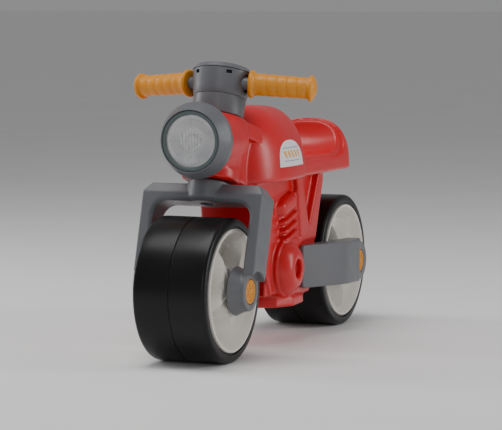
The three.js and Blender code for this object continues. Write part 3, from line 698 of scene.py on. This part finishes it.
def fork_field(x, t, s):
    """The crown and legs, in the steering frame: x across, t rearwards and s up the axis."""
    leg_inner = FORK_HALF - LEG_THICKNESS
    low = CROWN_TOP - CROWN_HEIGHT
    shoulder = CROWN_TOP - CROWN_SHOULDER
    centre_x, centre_s = leg_inner - ARCH_RADIUS, low - ARCH_RADIUS
    outline = [
        (-5, shoulder),
        (FORK_HALF - 10, shoulder),
        (FORK_HALF, shoulder - 13.5),
        (FORK_HALF, -4),
        (leg_inner, -4),
    ]
    for i in range(9):
        angle = math.pi / 2 * i / 8
        outline.append(
            (centre_x + ARCH_RADIUS * math.cos(angle), centre_s + ARCH_RADIUS * math.sin(angle))
        )
    outline.append((-5, low))
    flat = polygon_field(x, s, outline)
    depth = np.abs(t) - CROWN_DEPTH + np.clip(CROWN_TOP - s, 0, 150) * 0.006
    frame_field = rounded_both(flat, depth, 1.4)
    across, up = SHOULDER_SLOPE
    slope = (np.abs(t) - CROWN_DEPTH) * across + (s - shoulder + 14.2) * up
    frame_field = smooth_max(frame_field, slope, 1.0)
    across, above = x - centre_x, s - centre_s
    arch = np.hypot(np.maximum(across, 0), np.maximum(above, 0))
    arch = arch + np.minimum(np.maximum(across, above), 0) - ARCH_RADIUS
    chamfer = 3.0 + 2.2 * np.clip((s - 50) / 50, 0, 1)
    inside_edge = (np.abs(t) - CROWN_DEPTH + chamfer - arch) * DIAGONAL
    frame_field = smooth_max(frame_field, inside_edge, 1.0)
    around = np.hypot(t, s)
    taper = FACE_RADIUS + (BOSS_FACE - x) * 0.12 + np.clip(leg_inner - x, 0, 20) * 0.38
    drop_out = rounded_both(around - taper, between(x, DROP_IN, BOSS_FACE), 1.2)
    made = smooth_min(frame_field, drop_out, 2.5)
    hood = rod_field(t, s, x, FACE_RADIUS + 1.2, BOSS_FACE, FORK_HALF + 30, 0.6)
    made = cut(made, hood, 1.0)
    boss_side = np.hypot(x, t) - CROWN_BOSS
    boss = rounded_both(boss_side, between(s, low, CROWN_TOP), 1.2)
    boss = smooth_max(boss, (boss_side + low + 5.2 - s) * DIAGONAL, 1.0)
    made = smooth_min(made, boss, 0.8)
    made = axle_room(made, t, s, x, BOSS_FACE)
    made = cut(made, rod_field(x, t, s, STEM_SOCKET, low + 12, CROWN_TOP + 9, 0.2), 0.6)
    made = cut(made, rod_field(x, t, s, BOLT_HOLE, low + 5, low + 15, 0.2), 0.4)
    return cut(made, rod_field(x, t, s, BOLT_HEAD_ROOM, low - 8, low + 8, 0.2), 0.8)


def fork():
    low, high = (0, -36, -40), (FORK_HALF + 3, 36, CROWN_TOP + 3)
    mesh = field_mesh(fork_field, low, high, 1.1, STEER, even=True)
    stand_in("front_fork", mesh, "steering", "grey_plastic", 60)


# ---------- Steering column, cap and handlebar ----------


def sleeve():
    """The steering sleeve, widening a little towards the cap."""
    low_radius = SLEEVE_RADIUS - 1.5
    profile = [
        (STEM_RADIUS, SLEEVE_LOW + 13, 0.5),
        (low_radius - 4.5, SLEEVE_LOW + 13, 1),
        (low_radius - 3.5, SLEEVE_LOW, 0.5),
        (low_radius, SLEEVE_LOW, 0.9),
        (SLEEVE_RADIUS, SLEEVE_TOP, 0.5),
        (STEM_RADIUS, SLEEVE_TOP, 0.5),
    ]
    mesh = turned(profile, STEER, 128)
    stand_in("steering_sleeve", mesh, "steering", "grey_plastic", 35)


WINDOW_TURNS = (54, 126, 234, 306)
CLIP = (2.2, 7, 8)
STEM_RADIUS = 12.3
BAR_SWEEP = math.radians(13.7)
BAR_LEAD = 15.2
BAR_RADIUS = 9.0
BAR_HEIGHT = CAP_LOW + 19.9
BAR_END = 128 / math.cos(BAR_SWEEP)
GRIP_START = 44 / math.cos(BAR_SWEEP)
GRIP_END = 136.4 / math.cos(BAR_SWEEP)
BARRELS = 5
CAP_FOOT = CAP_RADIUS - 4.5


def bar_axes(x, t, s, side):
    """Distance along one half of the bar, and the two distances off its axis."""
    along, off = turned_axes(side * x, t + BAR_LEAD, BAR_SWEEP)
    return along, off, s - BAR_HEIGHT


def cap_field(x, t, s):
    """The steering cap: a drum with clip windows and a flat round each handlebar exit."""
    wall = 3.0
    foot = CAP_FOOT + np.clip(s - CAP_LOW, 0, 5.2) * 0.29 + np.clip(s - CAP_LOW - 5.2, 0, 3) * 0.17
    radius = foot + np.clip(s - CAP_LOW - 8.2, 0, 40) * 0.091
    outer = rounded_both(np.hypot(x, t) - radius, between(s, CAP_LOW, CAP_TOP + 4), 0.5)
    made = np.maximum(outer, s - CAP_TOP + 0.2)
    inner = rounded_both(np.hypot(x, t) - radius + wall, CAP_LOW + 4 - s, 1.0)
    made = cut(made, inner, 0.6)
    for turn in WINDOW_TURNS:
        out, across = turned_axes(x, t, math.radians(turn))
        low = (CAP_RADIUS - 6, -4, CAP_TOP - 7.8)
        high = (CAP_RADIUS + 6, 4, CAP_TOP - 3.5)
        made = cut(made, box_field(out, across, s, low, high, 0.4), 0.5)
    for side in (1, -1):
        along, off, up = bar_axes(x, t, s, side)
        flat = rod_field(off, up, along, 12.2, CAP_RADIUS - 2.6, CAP_RADIUS + 20, 0.4)
        made = cut(made, flat, 0.8)
        made = cut(made, rod_field(off, up, along, BAR_RADIUS + 0.5, 15, 60, 0.2), 0.6)
    return np.maximum(made, 3.4 - np.hypot(x, t))


def cap():
    reach = CAP_RADIUS + 3
    low, high = (0, -reach, CAP_LOW - 3), (reach, reach, CAP_TOP + 3)
    mesh = field_mesh(cap_field, low, high, 0.8, STEER, even=True)
    stand_in("steering_cap", mesh, "steering", "grey_plastic", 60)


def lid():
    """A shallow dished lid with a sloping rim and four clips."""
    low = CAP_TOP + FIT
    edge = CAP_RADIUS + 0.5
    profile = [
        (0, low, 0),
        (edge, low, 0.4),
        (edge, low + 1.1, 0.6),
        (edge - 4.5, LID_TOP, 1.2),
        (edge - 7.5, LID_TOP, 1.0),
        (edge - 9, LID_TOP - 1.5, 1.0),
        (0, LID_TOP - 1.5, 0),
    ]
    mesh = turned(profile, STEER, 128)
    stand_in("steering_cap_lid", mesh, "steering", "grey_plastic", 35)
    for i, turn in enumerate(WINDOW_TURNS):
        inset = Matrix.Translation((CAP_RADIUS - 6.3, 0, CAP_TOP - 3.7))
        clip = small_block(CLIP, STEER @ Matrix.Rotation(math.radians(turn), 4, "Z") @ inset)
        name = f"lid_clip_{i + 1}"
        piece = finish_piece(name, clip, "steering", "grey_plastic", look="black_nylon")
        soften(piece, 0.4, 3)


def bar_place(side):
    """Z runs out along one half of the bar from its bend."""
    turn = Matrix.Rotation(side * BAR_SWEEP, 4, "Z")
    out = Matrix.Rotation(side * math.pi / 2, 4, "Y")
    return STEER @ Matrix.Translation((0, -BAR_LEAD, BAR_HEIGHT)) @ turn @ out


def grip(side):
    """A rubbery grip: a thick inner flange, five barrels divided by grooves, and an end knob."""
    bore = BAR_RADIUS + 0.3
    profile = [
        (bore, GRIP_START, 0.4),
        (17.6, GRIP_START, 1.6),
        (19.5, GRIP_START + 2.2, 1.8),
        (19.3, GRIP_START + 5.2, 2.0),
        (15.9, GRIP_START + 8.4, 2.5),
    ]
    first, last = GRIP_START + 12, GRIP_END - 13
    for i in range(BARRELS):
        low = first + (last - first) * i / BARRELS
        high = first + (last - first) * (i + 1) / BARRELS
        crown = 15.6 - 0.8 * (i + 0.5) / BARRELS
        profile += [(crown - 0.35, low + 0.7, 0.5), (crown + 0.1, (low + high) / 2, 12)]
        profile += [(crown - 0.35, high - 0.7, 0.5)]
        if i < BARRELS - 1:
            profile += [(crown - 1.1, high, 0.25)]
    profile += [
        (15.0, GRIP_END - 12.5, 2.0),
        (18.0, GRIP_END - 9.8, 1.8),
        (18.2, GRIP_END - 6.4, 1.8),
        (12.5, GRIP_END - 3.0, 8.0),
        (6.0, GRIP_END - 0.7, 12.0),
        (0, GRIP_END, 0),
        (0, GRIP_END - 5, 0),
        (bore, GRIP_END - 5, 0.3),
    ]
    name = "grip_" + side
    mesh = turned(profile, bar_place(1 if side == "left" else -1))
    stand_in(name, mesh, "steering", "yellow_plastic", 50)


def handlebar():
    """The bar's two straight halves. The left one stands for the frame's whole tube."""
    profile = [
        (BAR_RADIUS - 1.5, 1.5, 0.2),
        (BAR_RADIUS, 2.5, 0.2),
        (BAR_RADIUS, BAR_END, 0.5),
        (BAR_RADIUS - 1.5, BAR_END, 0.5),
    ]
    for side, sign, tube in (("left", 1, ["handlebar_tube"]), ("right", -1, [])):
        name = "handlebar_" + side
        mesh = turned(profile, bar_place(sign), 64)
        finish_piece(name, mesh, "steering", "grey_plastic", tube)


# ---------- Headlight ----------


LENS_RADIUS = corners("headlight_lens")[1][0]
TRIM_RADIUS = corners("headlight_trim_ring")[1][0] + FIT
LAMP_RADIUS = (LAMP_HIGH[0] - LAMP_LOW[0]) / 2


def lamp_piece(name, points, slot, node, segments=144):
    """A piece turned about the lamp's axis, its depths measured back from the lamp's front."""
    profile = [(radius, LAMP_LOW[1] + back, fillet) for radius, back, fillet in points]
    mesh = turned(profile, axis_forward(0, LAMP_HEIGHT), segments)
    finish_piece(name, mesh, "frame", slot, [node], 35)


def headlight():
    bezel = [
        (26, 45, 0),
        (26, 29, 0.5),
        (33.6, 29, 1),
        (42.2, 15, 1),
        (TRIM_RADIUS + 0.4, 0.4, 0.3),
        (TRIM_RADIUS + 1.6, 0.0, 0.9),
        (TRIM_RADIUS + 6.6, 10.5, 1.2),
        (TRIM_RADIUS + 7.4, 12.0, 1.0),
        (LAMP_RADIUS - 0.2, 20.5, 2.5),
        (LAMP_RADIUS, 27.5, 4.0),
        (LAMP_RADIUS - 6, 33, 2),
        (30, 33, 0.5),
        (30, 45, 0.4),
    ]
    lamp_piece("headlight_bezel_piece", bezel, "grey_plastic", "headlight_bezel")
    ring = [
        (LENS_RADIUS + FIT, 8, 0.3),
        (TRIM_RADIUS - FIT, 8, 0.3),
        (TRIM_RADIUS - FIT, 1.6, 0.5),
        (TRIM_RADIUS - 1.0, 0.7, 0.6),
        (LENS_RADIUS + 1.2, 1.2, 0.6),
        (LENS_RADIUS + FIT, 2.2, 0.4),
    ]
    lamp_piece("headlight_trim_piece", ring, "dark_trim", "headlight_trim_ring")
    bowl = [
        (0, 25.4, 0),
        (22, 25.4, 3),
        (LENS_RADIUS, 8, 0.3),
        (LENS_RADIUS, 5.9, 0.3),
        (31, 7.5, 3),
        (18, 17.5, 5),
        (9.5, 19.5, 2),
        (6.5, 14, 2),
        (0, 15, 0),
    ]
    lamp_piece("headlight_bowl_piece", bowl, "reflector", "headlight_reflector", 96)


def lens():
    """A clear disc with upright flutes on its back, coarser inside a ring over the bulb."""
    front = LAMP_LOW[1] + 2.6
    thick = 2.4
    bulb_ring = 16
    rings, steps = 40, 144
    points, faces = [], []

    def flute(x, z):
        radius = math.hypot(x, z)
        pitch, depth = (3.1, 0.85) if radius > bulb_ring else (4.4, 1.3)
        wave = 0.5 - 0.5 * math.cos(2 * math.pi * x / pitch)
        fade = min(1, max(0, (LENS_RADIUS - 1 - radius) / 1.5), abs(radius - bulb_ring) / 0.8)
        return thick - depth * wave * fade

    for face in (0, 1):
        for k in range(rings + 1):
            radius = LENS_RADIUS * k / rings
            for i in range(steps):
                angle = 2 * math.pi * i / steps
                x, z = radius * math.sin(angle), radius * math.cos(angle)
                bulge = 0.9 * (radius / LENS_RADIUS) ** 2
                y = front + bulge * 0.5 + (flute(x, z) if face else 0)
                points.append((x, y, LAMP_HEIGHT + z))
    layer = (rings + 1) * steps
    for k in range(rings):
        for i in range(steps):
            j = (i + 1) % steps
            a, b = k * steps + i, k * steps + j
            c, d = (k + 1) * steps + j, (k + 1) * steps + i
            faces.append((a, b, c, d))
            faces.append((layer + d, layer + c, layer + b, layer + a))
    edge = rings * steps
    for i in range(steps):
        j = (i + 1) % steps
        faces.append((edge + i, edge + j, layer + edge + j, layer + edge + i))
    mesh = edit(mesh_from(points, faces), weld)
    stand_in("headlight_lens", mesh, "frame", "lens", 60)


# ---------- Body ----------

TANK_WIDEST = 135.0
TANK_HALF = SHELL_HIGH[0]
TANK_CROWN = 103.0
TANK_REAR = 207.0
TANK_POWER = 2.2


def swell(y, front, rear, front_power, rear_power):
    """1 at the tank's widest station, falling smoothly to 0 this far ahead and behind."""
    ahead = np.clip((TANK_WIDEST - y) / front, 0, 0.999)
    behind = np.clip((y - TANK_WIDEST) / rear, 0, 0.999)
    forward = (1 - ahead**front_power) ** (1 / front_power)
    backward = (1 - behind**rear_power) ** (1 / rear_power)
    return np.where(y < TANK_WIDEST, forward, backward)


def tank_size(y):
    half = TANK_HALF * swell(y, 100, 200, 2.3, 2.0)
    crown = TANK_CROWN * swell(y, 105, 260, 2.1, 2.0)
    return half, crown


def arch_field(x, z, half, crown, power):
    """Roughly the distance to an arch |x/half|^power + |z/crown|^power = 1."""
    ratio = ((np.abs(x) / half) ** power + (np.maximum(z, 0) / crown) ** power) ** (1 / power)
    away = np.hypot(x, np.maximum(z, 0))
    return away * (1 - 1 / np.maximum(ratio, 0.05))


def tank_field(x, y, z):
    half, crown = tank_size(y)
    made = arch_field(x, z, half, crown, TANK_POWER)
    made = smooth_max(made, y - TANK_REAR, 11)
    return smooth_max(made, -z - 3.9, 5)


SEAT_HALF = 62.0
SEAT_RIM = 17.0
TAIL_HEIGHT = 75.0
TAIL_WALL = 379.0
TAIL_END = SHELL_HIGH[1]
TAIL_POWER = 2.7


def seat_field(x, y, z):
    """A flat-sided pan whose surface sweeps up into the tail's wall, and the tail's arch."""
    narrow = np.clip((y - 388) / (TAIL_END - 388), 0, 0.999)
    half = SEAT_HALF * (1 - narrow**2.4) ** (1 / 2.4)
    crown = TAIL_HEIGHT * (1 - np.clip((y - 384) / (TAIL_END - 380), 0, 0.999) ** 2.2) ** (1 / 2.2)
    outer = arch_field(x, z, np.maximum(half, 2), np.maximum(crown, 2), TAIL_POWER)
    outer = smooth_max(outer, 190 - y, 2)
    outer = smooth_max(outer, -z - 3, 5)
    middle = 1 - np.clip(np.abs(x) / SEAT_HALF, 0, 1) ** 2
    ledge = smooth_max(SEAT_RIM + 2 - z, y - TAIL_WALL - 9 - 4 * middle, 40)
    rim = smooth_max(outer, -ledge, 1.2)
    surface = SEAT_RIM + 9.5 - 6 * middle
    bowl = smooth_max(surface - z, y - TAIL_WALL - 4 * middle, 58)
    pad = smooth_max(outer + 4.5, -bowl, 4)
    return smooth_min(rim, pad, 1.2)


STRUT_HALF = 52.0
ENGINE_LEAN = math.radians(14.7)
ENGINE_HALF = 55.0
HEAD_BLOCK = (80.3, 95.4, 101.0)
HEAD_BLOCK_REAR = 194.0
FIN_HEIGHTS = (38.4, 51.2, 64.9)
FIN_THICKNESS = 6.8
FIN_REAR = 202.0
PILLAR_HALF = 46.0
HUB_HEIGHT = REAR_HUB[2] - DATUM[2]
CRANK = (168.0, HUB_HEIGHT + 9.7)
COVER_RADIUS = 39.0
COVER_HOLE = 13.5
FLOOR = SHELL_LOW[2]
HEAD_LOW, HEAD_HIGH = 2.6, 91.6
HEAD_RADIUS = 37.0
STEM_ROOM = 18.5
LAMP_LEVEL = LAMP_HEIGHT - DATUM[2]
LAMP_SEAT = LAMP_HIGH[1] - 12 - DATUM[1]
SOCKET_RADIUS = 30.6
TIE_ROD = (252.0, HUB_HEIGHT + 6)
TIE_ROD_ROOM = 4.6
PLUG_Y = 380.0
PLUG_ROOM = 5.2


def strut_field(x, y, z):
    outline = [(219, -101), (280, -101), (311, -15), (311, 8), (200, 8), (207, -15)]
    made = plate_field(y, z, x, outline, -STRUT_HALF, STRUT_HALF, 3.5)
    recess = [(251, -76), (255, -76), (293, -4), (293, 4), (222, 4), (222, -4)]
    depth = np.clip(STRUT_HALF - 11 - np.abs(x), -20, 60)
    valley = smooth_max(polygon_field(y, z, recess) + 1.5, depth, 6)
    made = smooth_max(made, -valley, 4)
    seat_block = box_field(x, y, z, (-50, 165, FLOOR + 19), (50, 280, -93), 3)
    return smooth_min(made, seat_block, 3)


def plan_field(x, back, half, front):
    """The cylinder's plan: flat sides, a broad nose that falls back to them, no rear."""
    nose = front - 16 + np.maximum(np.abs(x) - half + 33, 0) * 0.536 - back
    return smooth_max(np.abs(x) - half, nose * 0.881, 7)


def engine_field(x, y, z):
    """The finned cylinder, leaning forward about the crank, and the pillar ahead of it."""
    back, up = turned_axes(y - CRANK[0], z - CRANK[1], ENGINE_LEAN)
    core = rounded_both(plan_field(x, back, ENGINE_HALF - 8, 7), between(up, 0, 94), 2)
    core = smooth_max(core, y - 224, 2)
    full = plan_field(x, back, ENGINE_HALF, 0)
    low, shoulder, top = HEAD_BLOCK
    block = rounded_both(full, between(up, low, top), 1.8)
    block = smooth_max(block, (full + (up - shoulder) * 1.25) * 0.62, 1.6)
    block = smooth_max(block, y - HEAD_BLOCK_REAR, 5)
    made = smooth_min(core, block, 2.5)
    for height in FIN_HEIGHTS:
        fin = rounded_both(full, between(up, height, height + FIN_THICKNESS), 3.2)
        made = smooth_min(made, smooth_max(fin, y - FIN_REAR, 5), 3.0)
    outline = [(70, -30), (84, -120), (114, FLOOR + 21), (118, FLOOR + 21), (118, -30)]
    pillar = plate_field(y, z, x, outline, -PILLAR_HALF, PILLAR_HALF, 2.5)
    behind = [(100, -30), (100, FLOOR + 21), (156, FLOOR + 21), (156, -30)]
    web = plate_field(y, z, x, behind, 4 - PILLAR_HALF, PILLAR_HALF - 4, 2)
    return join(2.5, made, smooth_min(pillar, web, 2))


def crank_field(x, y, z):
    """The domed crank covers with their ringed holes, the case and the flared sump."""
    around = np.hypot(y - CRANK[0], z - CRANK[1])
    out = np.abs(x)
    reach = 68 - 0.038 * np.maximum(around - 19, 0) ** 2
    dome = smooth_max(around - COVER_RADIUS, (out - reach) * 0.8, 3)
    dome = cut(dome, rounded_both(around - COVER_HOLE, 58 - out, 1.5), 2.2)
    base = rounded_both(around - COVER_RADIUS - 3, out - 50, 2)
    dome = smooth_min(dome, base, 1.5)
    case_plan = [(-14, 138), (14, 138), (41, 152), (48, 181)]
    case_plan += [(48, 262), (-48, 262), (-48, 181), (-41, 152)]
    case = plate_field(x, y, z, case_plan, FLOOR + 12, CRANK[1] + 34, 4)
    plan = [(-15, 136), (15, 136), (40, 150), (55, 181), (52, 226), (39, 261)]
    plan += [(-39, 261), (-52, 226), (-55, 181), (-40, 150)]
    flare = np.clip((z - FLOOR) / 17, 0, 1) * 1.5 + np.clip((z - FLOOR - 12) / 12, 0, 1.2) * 7
    flat = polygon_field(x, y, plan) + flare
    sump = rounded_both(flat, between(z, FLOOR, FLOOR + 26), 2.5)
    return join(3, dome, smooth_min(case, sump, 3))


def head_field(x, y, z):
    """The steering head, its foot and winged top, and the boss behind the headlight."""
    t, s = turned_axes(y, z, -RAKE)
    low, high = HEAD_LOW, HEAD_HIGH
    column = rod_field(x, t, s, HEAD_RADIUS, low, high, 1.5)
    foot = rod_field(x, t, s, HEAD_RADIUS + 3, low, low + 17, 3)
    web = box_field(x, t, s, (-36, 0, low + 4), (36, 76, high - 8), 4)
    wing_plan = [(-8, -39), (0, -39), (28, -29), (40, 0), (47.5, 52), (36, 60), (0, 60), (-8, 60)]
    wing = plate_field(np.abs(x), t, s, wing_plan, high - 22, high, 2)
    front = LAMP_SEAT + FIT
    boss = rod_field(x, z - LAMP_LEVEL, y, 46, front, 34, 2)
    boss = smooth_max(boss, s - high, 2)
    made = join(2.0, join(9, column, boss, web), foot, wing)
    lamp_room = rod_field(x, z - LAMP_LEVEL, y, LAMP_RADIUS + 2, front - 60, front, 0.5)
    return cut(made, lamp_room, 1)


def body_field(x, y, z):
    """The whole moulding, with the holes for the stem, the lamp, the tie rod and the plug."""
    neck = box_field(x, y, z, (-42, 71, -40), (42, 209, 8), 4)
    engine = join(3, engine_field(x, y, z), neck)
    lower = join(2.5, engine, crank_field(x, y, z))
    lower = join(3, lower, strut_field(x, y, z))
    upper = join(3, tank_field(x, y, z), head_field(x, y, z), seat_field(x, y, z))
    made = smooth_min(upper, lower, 3)
    t, s = turned_axes(y, z, -RAKE)
    made = cut(made, rod_field(x, t, s, STEM_ROOM, -5, 100, 0.3), 0.8)
    back = LAMP_SEAT + 13.4
    made = cut(made, rod_field(x, z - LAMP_LEVEL, y, SOCKET_RADIUS, LAMP_SEAT - 5, back, 0.3), 0.8)
    made = cut(made, rod_field(y - TIE_ROD[0], z - TIE_ROD[1], x, TIE_ROD_ROOM, -90, 90, 0.2), 0.5)
    made = cut(made, rod_field(x, y - PLUG_Y, z, PLUG_ROOM, -10, 10, 0.2), 0.5)
    return np.maximum(made, FLOOR - z)


def body():
    step = 1.5
    low = (0, SHELL_LOW[1] - 3, SHELL_LOW[2] - 3)
    mesh = field_mesh(body_field, low, SHELL_HIGH + 3, step, BODY, even=True)
    finish_piece("body_piece", mesh, "frame", "red_plastic", ["body_shell"], 180)


# ---------- Stickers ----------

STICKER_MIDDLE = 141.0
STICKER_HALF = 43.0
STICKER_LOW = 17.0
STICKER_HEIGHT = 37.0


def sticker(side):
    """Film that follows the tank's flank, with a straight foot and an arched top."""
    sign = 1 if side == "left" else -1
    name = "tank_sticker_" + side
    columns, rows = 40, 16
    lifts = (0.12, 0.62)
    arch = 2.5
    points, faces, uvs = [], [], []
    for lift in lifts:
        for i in range(columns + 1):
            share = 2 * i / columns - 1
            y = STICKER_MIDDLE + STICKER_HALF * share * 0.9999
            top = STICKER_HEIGHT * (1 - abs(share) ** arch) ** (1 / arch)
            for j in range(rows + 1):
                z = STICKER_LOW + max(top, 0.5) * j / rows
                half, crown = tank_size(np.array(y))
                x = float(half) * (1 - (z / float(crown)) ** TANK_POWER) ** (1 / TANK_POWER)
                points.append((sign * (x + lift), y, z))
                uvs.append((i / columns, (z - STICKER_LOW) / STICKER_HEIGHT))
    layer = (columns + 1) * (rows + 1)

    def at(i, j, face):
        return face * layer + i * (rows + 1) + j

    for i in range(columns):
        for j in range(rows):
            faces.append((at(i, j, 1), at(i + 1, j, 1), at(i + 1, j + 1, 1), at(i, j + 1, 1)))
            faces.append((at(i, j, 0), at(i, j + 1, 0), at(i + 1, j + 1, 0), at(i + 1, j, 0)))
    border = [(i, 0) for i in range(columns)] + [(columns, j) for j in range(rows)]
    border += [(i, rows) for i in range(columns, 0, -1)] + [(0, j) for j in range(rows, 0, -1)]
    for k, (i, j) in enumerate(border):
        m, n = border[(k + 1) % len(border)]
        faces.append((at(i, j, 0), at(m, n, 0), at(m, n, 1), at(i, j, 1)))
    mesh = mesh_from(points, faces)
    layer_uv = mesh.uv_layers.new(name="UVMap")
    for loop in mesh.loops:
        layer_uv.data[loop.index].uv = uvs[loop.vertex_index]
    edit(mesh, face_out)
    mesh.transform(in_metres(BODY))
    stand_in(name, mesh, "frame", "sticker", 50)


# ---------- Rear arms ----------

ARM_HEIGHT = 63.5
ARM_RISE = 2.7
ARM_TILT = math.radians(1.4)
ARM_FRONT = DATUM[1] + 214


def arm_field(x, y, z):
    """A bent plate with a hub boss, open towards the wheel."""
    u, v = y - REAR_HUB[1], z - REAR_HUB[2]
    y_level, z_level = turned_axes(u, v, -ARM_TILT)
    y_level, z_level = y_level + REAR_HUB[1], z_level + REAR_HUB[2]
    front, knee = ARM_FRONT, REAR_HUB[1] - 86
    tip = REAR_HUB[1] - 28
    middle = REAR_HUB[2] + ARM_RISE
    low, high = middle - ARM_HEIGHT / 2, middle + ARM_HEIGHT / 2
    foot, reach = ARM_LOW[0], ARM_HIGH[0]
    splay = math.atan2(reach - foot - 6, knee - front)
    plan = [(foot, front), (foot + 6, front)]
    for i in range(9):
        angle = splay * (i / 8 - 1)
        plan.append((reach - 60 + 60 * math.cos(angle), knee + 10 + 60 * math.sin(angle)))
    plan += [
        (reach, tip),
        (BOSS_FACE, tip),
        (BOSS_FACE, REAR_HUB[1]),
        (DROP_IN, REAR_HUB[1]),
        (DROP_IN, knee + 4),
        (foot, front + 68),
    ]
    flat = polygon_field(x, y_level, plan)
    side = box_field(0 * x, y_level, z_level, (-50, front, low), (50, REAR_HUB[1] + 60, high), 6.5)
    made = rounded_both(flat, side, 1.3)
    pocket = [
        (foot + 5, front + 44),
        (foot + 17, front + 44),
        (reach - 5, knee + 2),
        (reach - 5, tip - 5),
        (DROP_IN - 9, tip - 5),
        (DROP_IN - 9, front + 86),
        (foot + 5, front + 74),
    ]
    hollow = plate_field(x, y_level, z_level, pocket, low + 5, high - 5, 1)
    made = cut(made, hollow, 1.5)
    boss = rod_field(u, v, x, 30, DROP_IN, BOSS_FACE, 1.5)
    made = axle_room(smooth_min(made, boss, 2), u, v, x, BOSS_FACE)
    off_y = y - DATUM[1] - TIE_ROD[0]
    off_z = z - corners("arm_tie_rod")[0][2] - 4
    return cut(made, rod_field(off_y, off_z, x, TIE_ROD_ROOM, foot - 5, foot + 9, 0.2), 0.5)


def arm(side):
    name = "rear_arm_" + side
    low, high = ARM_LOW - 3, ARM_HIGH + 3
    mesh = field_mesh(arm_field, low, high, 1.2, Matrix.Identity(4))
    if side == "right":
        mirrored(mesh)
    stand_in(name, mesh, "frame", "grey_plastic", 60)


# ---------- Pieces carried over from the frame ----------


def paint_carried_nodes():
    """The inner pieces keep their own shape and get their material."""
    slots = {row["node"]: row["material_slot"] for row in frame["record"]["subparts"]}
    for name, node in NODES.items():
        if slots[name] in ("steel", "black_nylon"):
            node.data.materials.clear()
            node.data.materials.append(LOOKS[slots[name]])
            soften(node, 0.25, 2)


# ---------- Camera, light and floor ----------

FLOOR_REACH = 2e5
SKY = ((0.93, 0.93, 0.95, 1), 0.3)

# name, place, point it is aimed at, width and height in metres, power in watts
SOFTBOXES = (
    ("key", (-0.3, -0.6, 2.4), (0, 0, 0.2), (1.6, 1.2), 30),
    ("left", (-2.2, -0.2, 1.1), (0, -0.1, 0.2), (0.7, 1.8), 20),
    ("right", (2.5, 0.6, 1.0), (0, 0, 0.2), (0.7, 1.8), 26),
    ("front", (0.9, -3.4, 1.2), (0, 0, 0.2), (0.9, 1.4), 10),
)

VIEW_AZIMUTH = math.radians(22.29)
VIEW_ELEVATION = math.radians(4.98)
VIEW_DISTANCE = 3.492
VIEW_AIM = Vector((-0.0085, -0.0049, 0.1848))
SENSOR_WIDTH = 36
FOCAL_LENGTH = 171.9


def floor():
    near, far = -FLOOR_REACH, FLOOR_REACH
    square = [(near, near, 0), (far, near, 0), (far, far, 0), (near, far, 0)]
    mesh = mesh_from(square, [(0, 1, 2, 3)])
    look = Look("floor")
    look.tint(look.noise(3), (0.90, 0.89, 0.88, 1), (0.93, 0.92, 0.91, 1))
    look.shader["Roughness"].default_value = 0.75
    mesh.materials.append(look.material)
    placed("floor", mesh)


def light():
    world = bpy.data.worlds.new("studio")
    bpy.context.scene.world = world
    world.use_nodes = True
    background = world.node_tree.nodes["Background"]
    background.inputs["Color"].default_value, background.inputs["Strength"].default_value = SKY
    for name, place, aim, size, power in SOFTBOXES:
        lamp = bpy.data.lights.new(name, "AREA")
        lamp.shape = "RECTANGLE"
        lamp.size, lamp.size_y = size
        lamp.energy = power
        made = placed(name, lamp)
        made.location = place
        direction = Vector(aim) - Vector(place)
        made.rotation_euler = direction.to_track_quat("-Z", "Y").to_euler()


def camera():
    """Looks at the bike's left front from a little above."""
    level = math.cos(VIEW_ELEVATION)
    across, forward = math.sin(VIEW_AZIMUTH) * level, -math.cos(VIEW_AZIMUTH) * level
    back = Vector((across, forward, math.sin(VIEW_ELEVATION)))
    data = bpy.data.cameras.new("camera")
    data.sensor_width = SENSOR_WIDTH
    data.lens = FOCAL_LENGTH
    made = placed("camera", data)
    made.location = VIEW_AIM + back * VIEW_DISTANCE
    made.rotation_mode = "QUATERNION"
    made.rotation_quaternion = (-back).to_track_quat("-Z", "Y")
    bpy.context.scene.camera = made


# ---------- The whole bike ----------

camera()
floor()
light()
for end, hub_point, carrier in (("front", FRONT_HUB, "steering"), ("rear", REAR_HUB, "frame")):
    tyre(end, hub_point)
    for side in SIDES:
        hub(end, side, hub_point)
        axle_cap(end, side, hub_point, carrier)
fork()
sleeve()
cap()
lid()
handlebar()
for side in SIDES:
    grip(side)
headlight()
lens()
body()
for side in SIDES:
    sticker(side)
for side in SIDES:
    arm(side)
paint_carried_nodes()
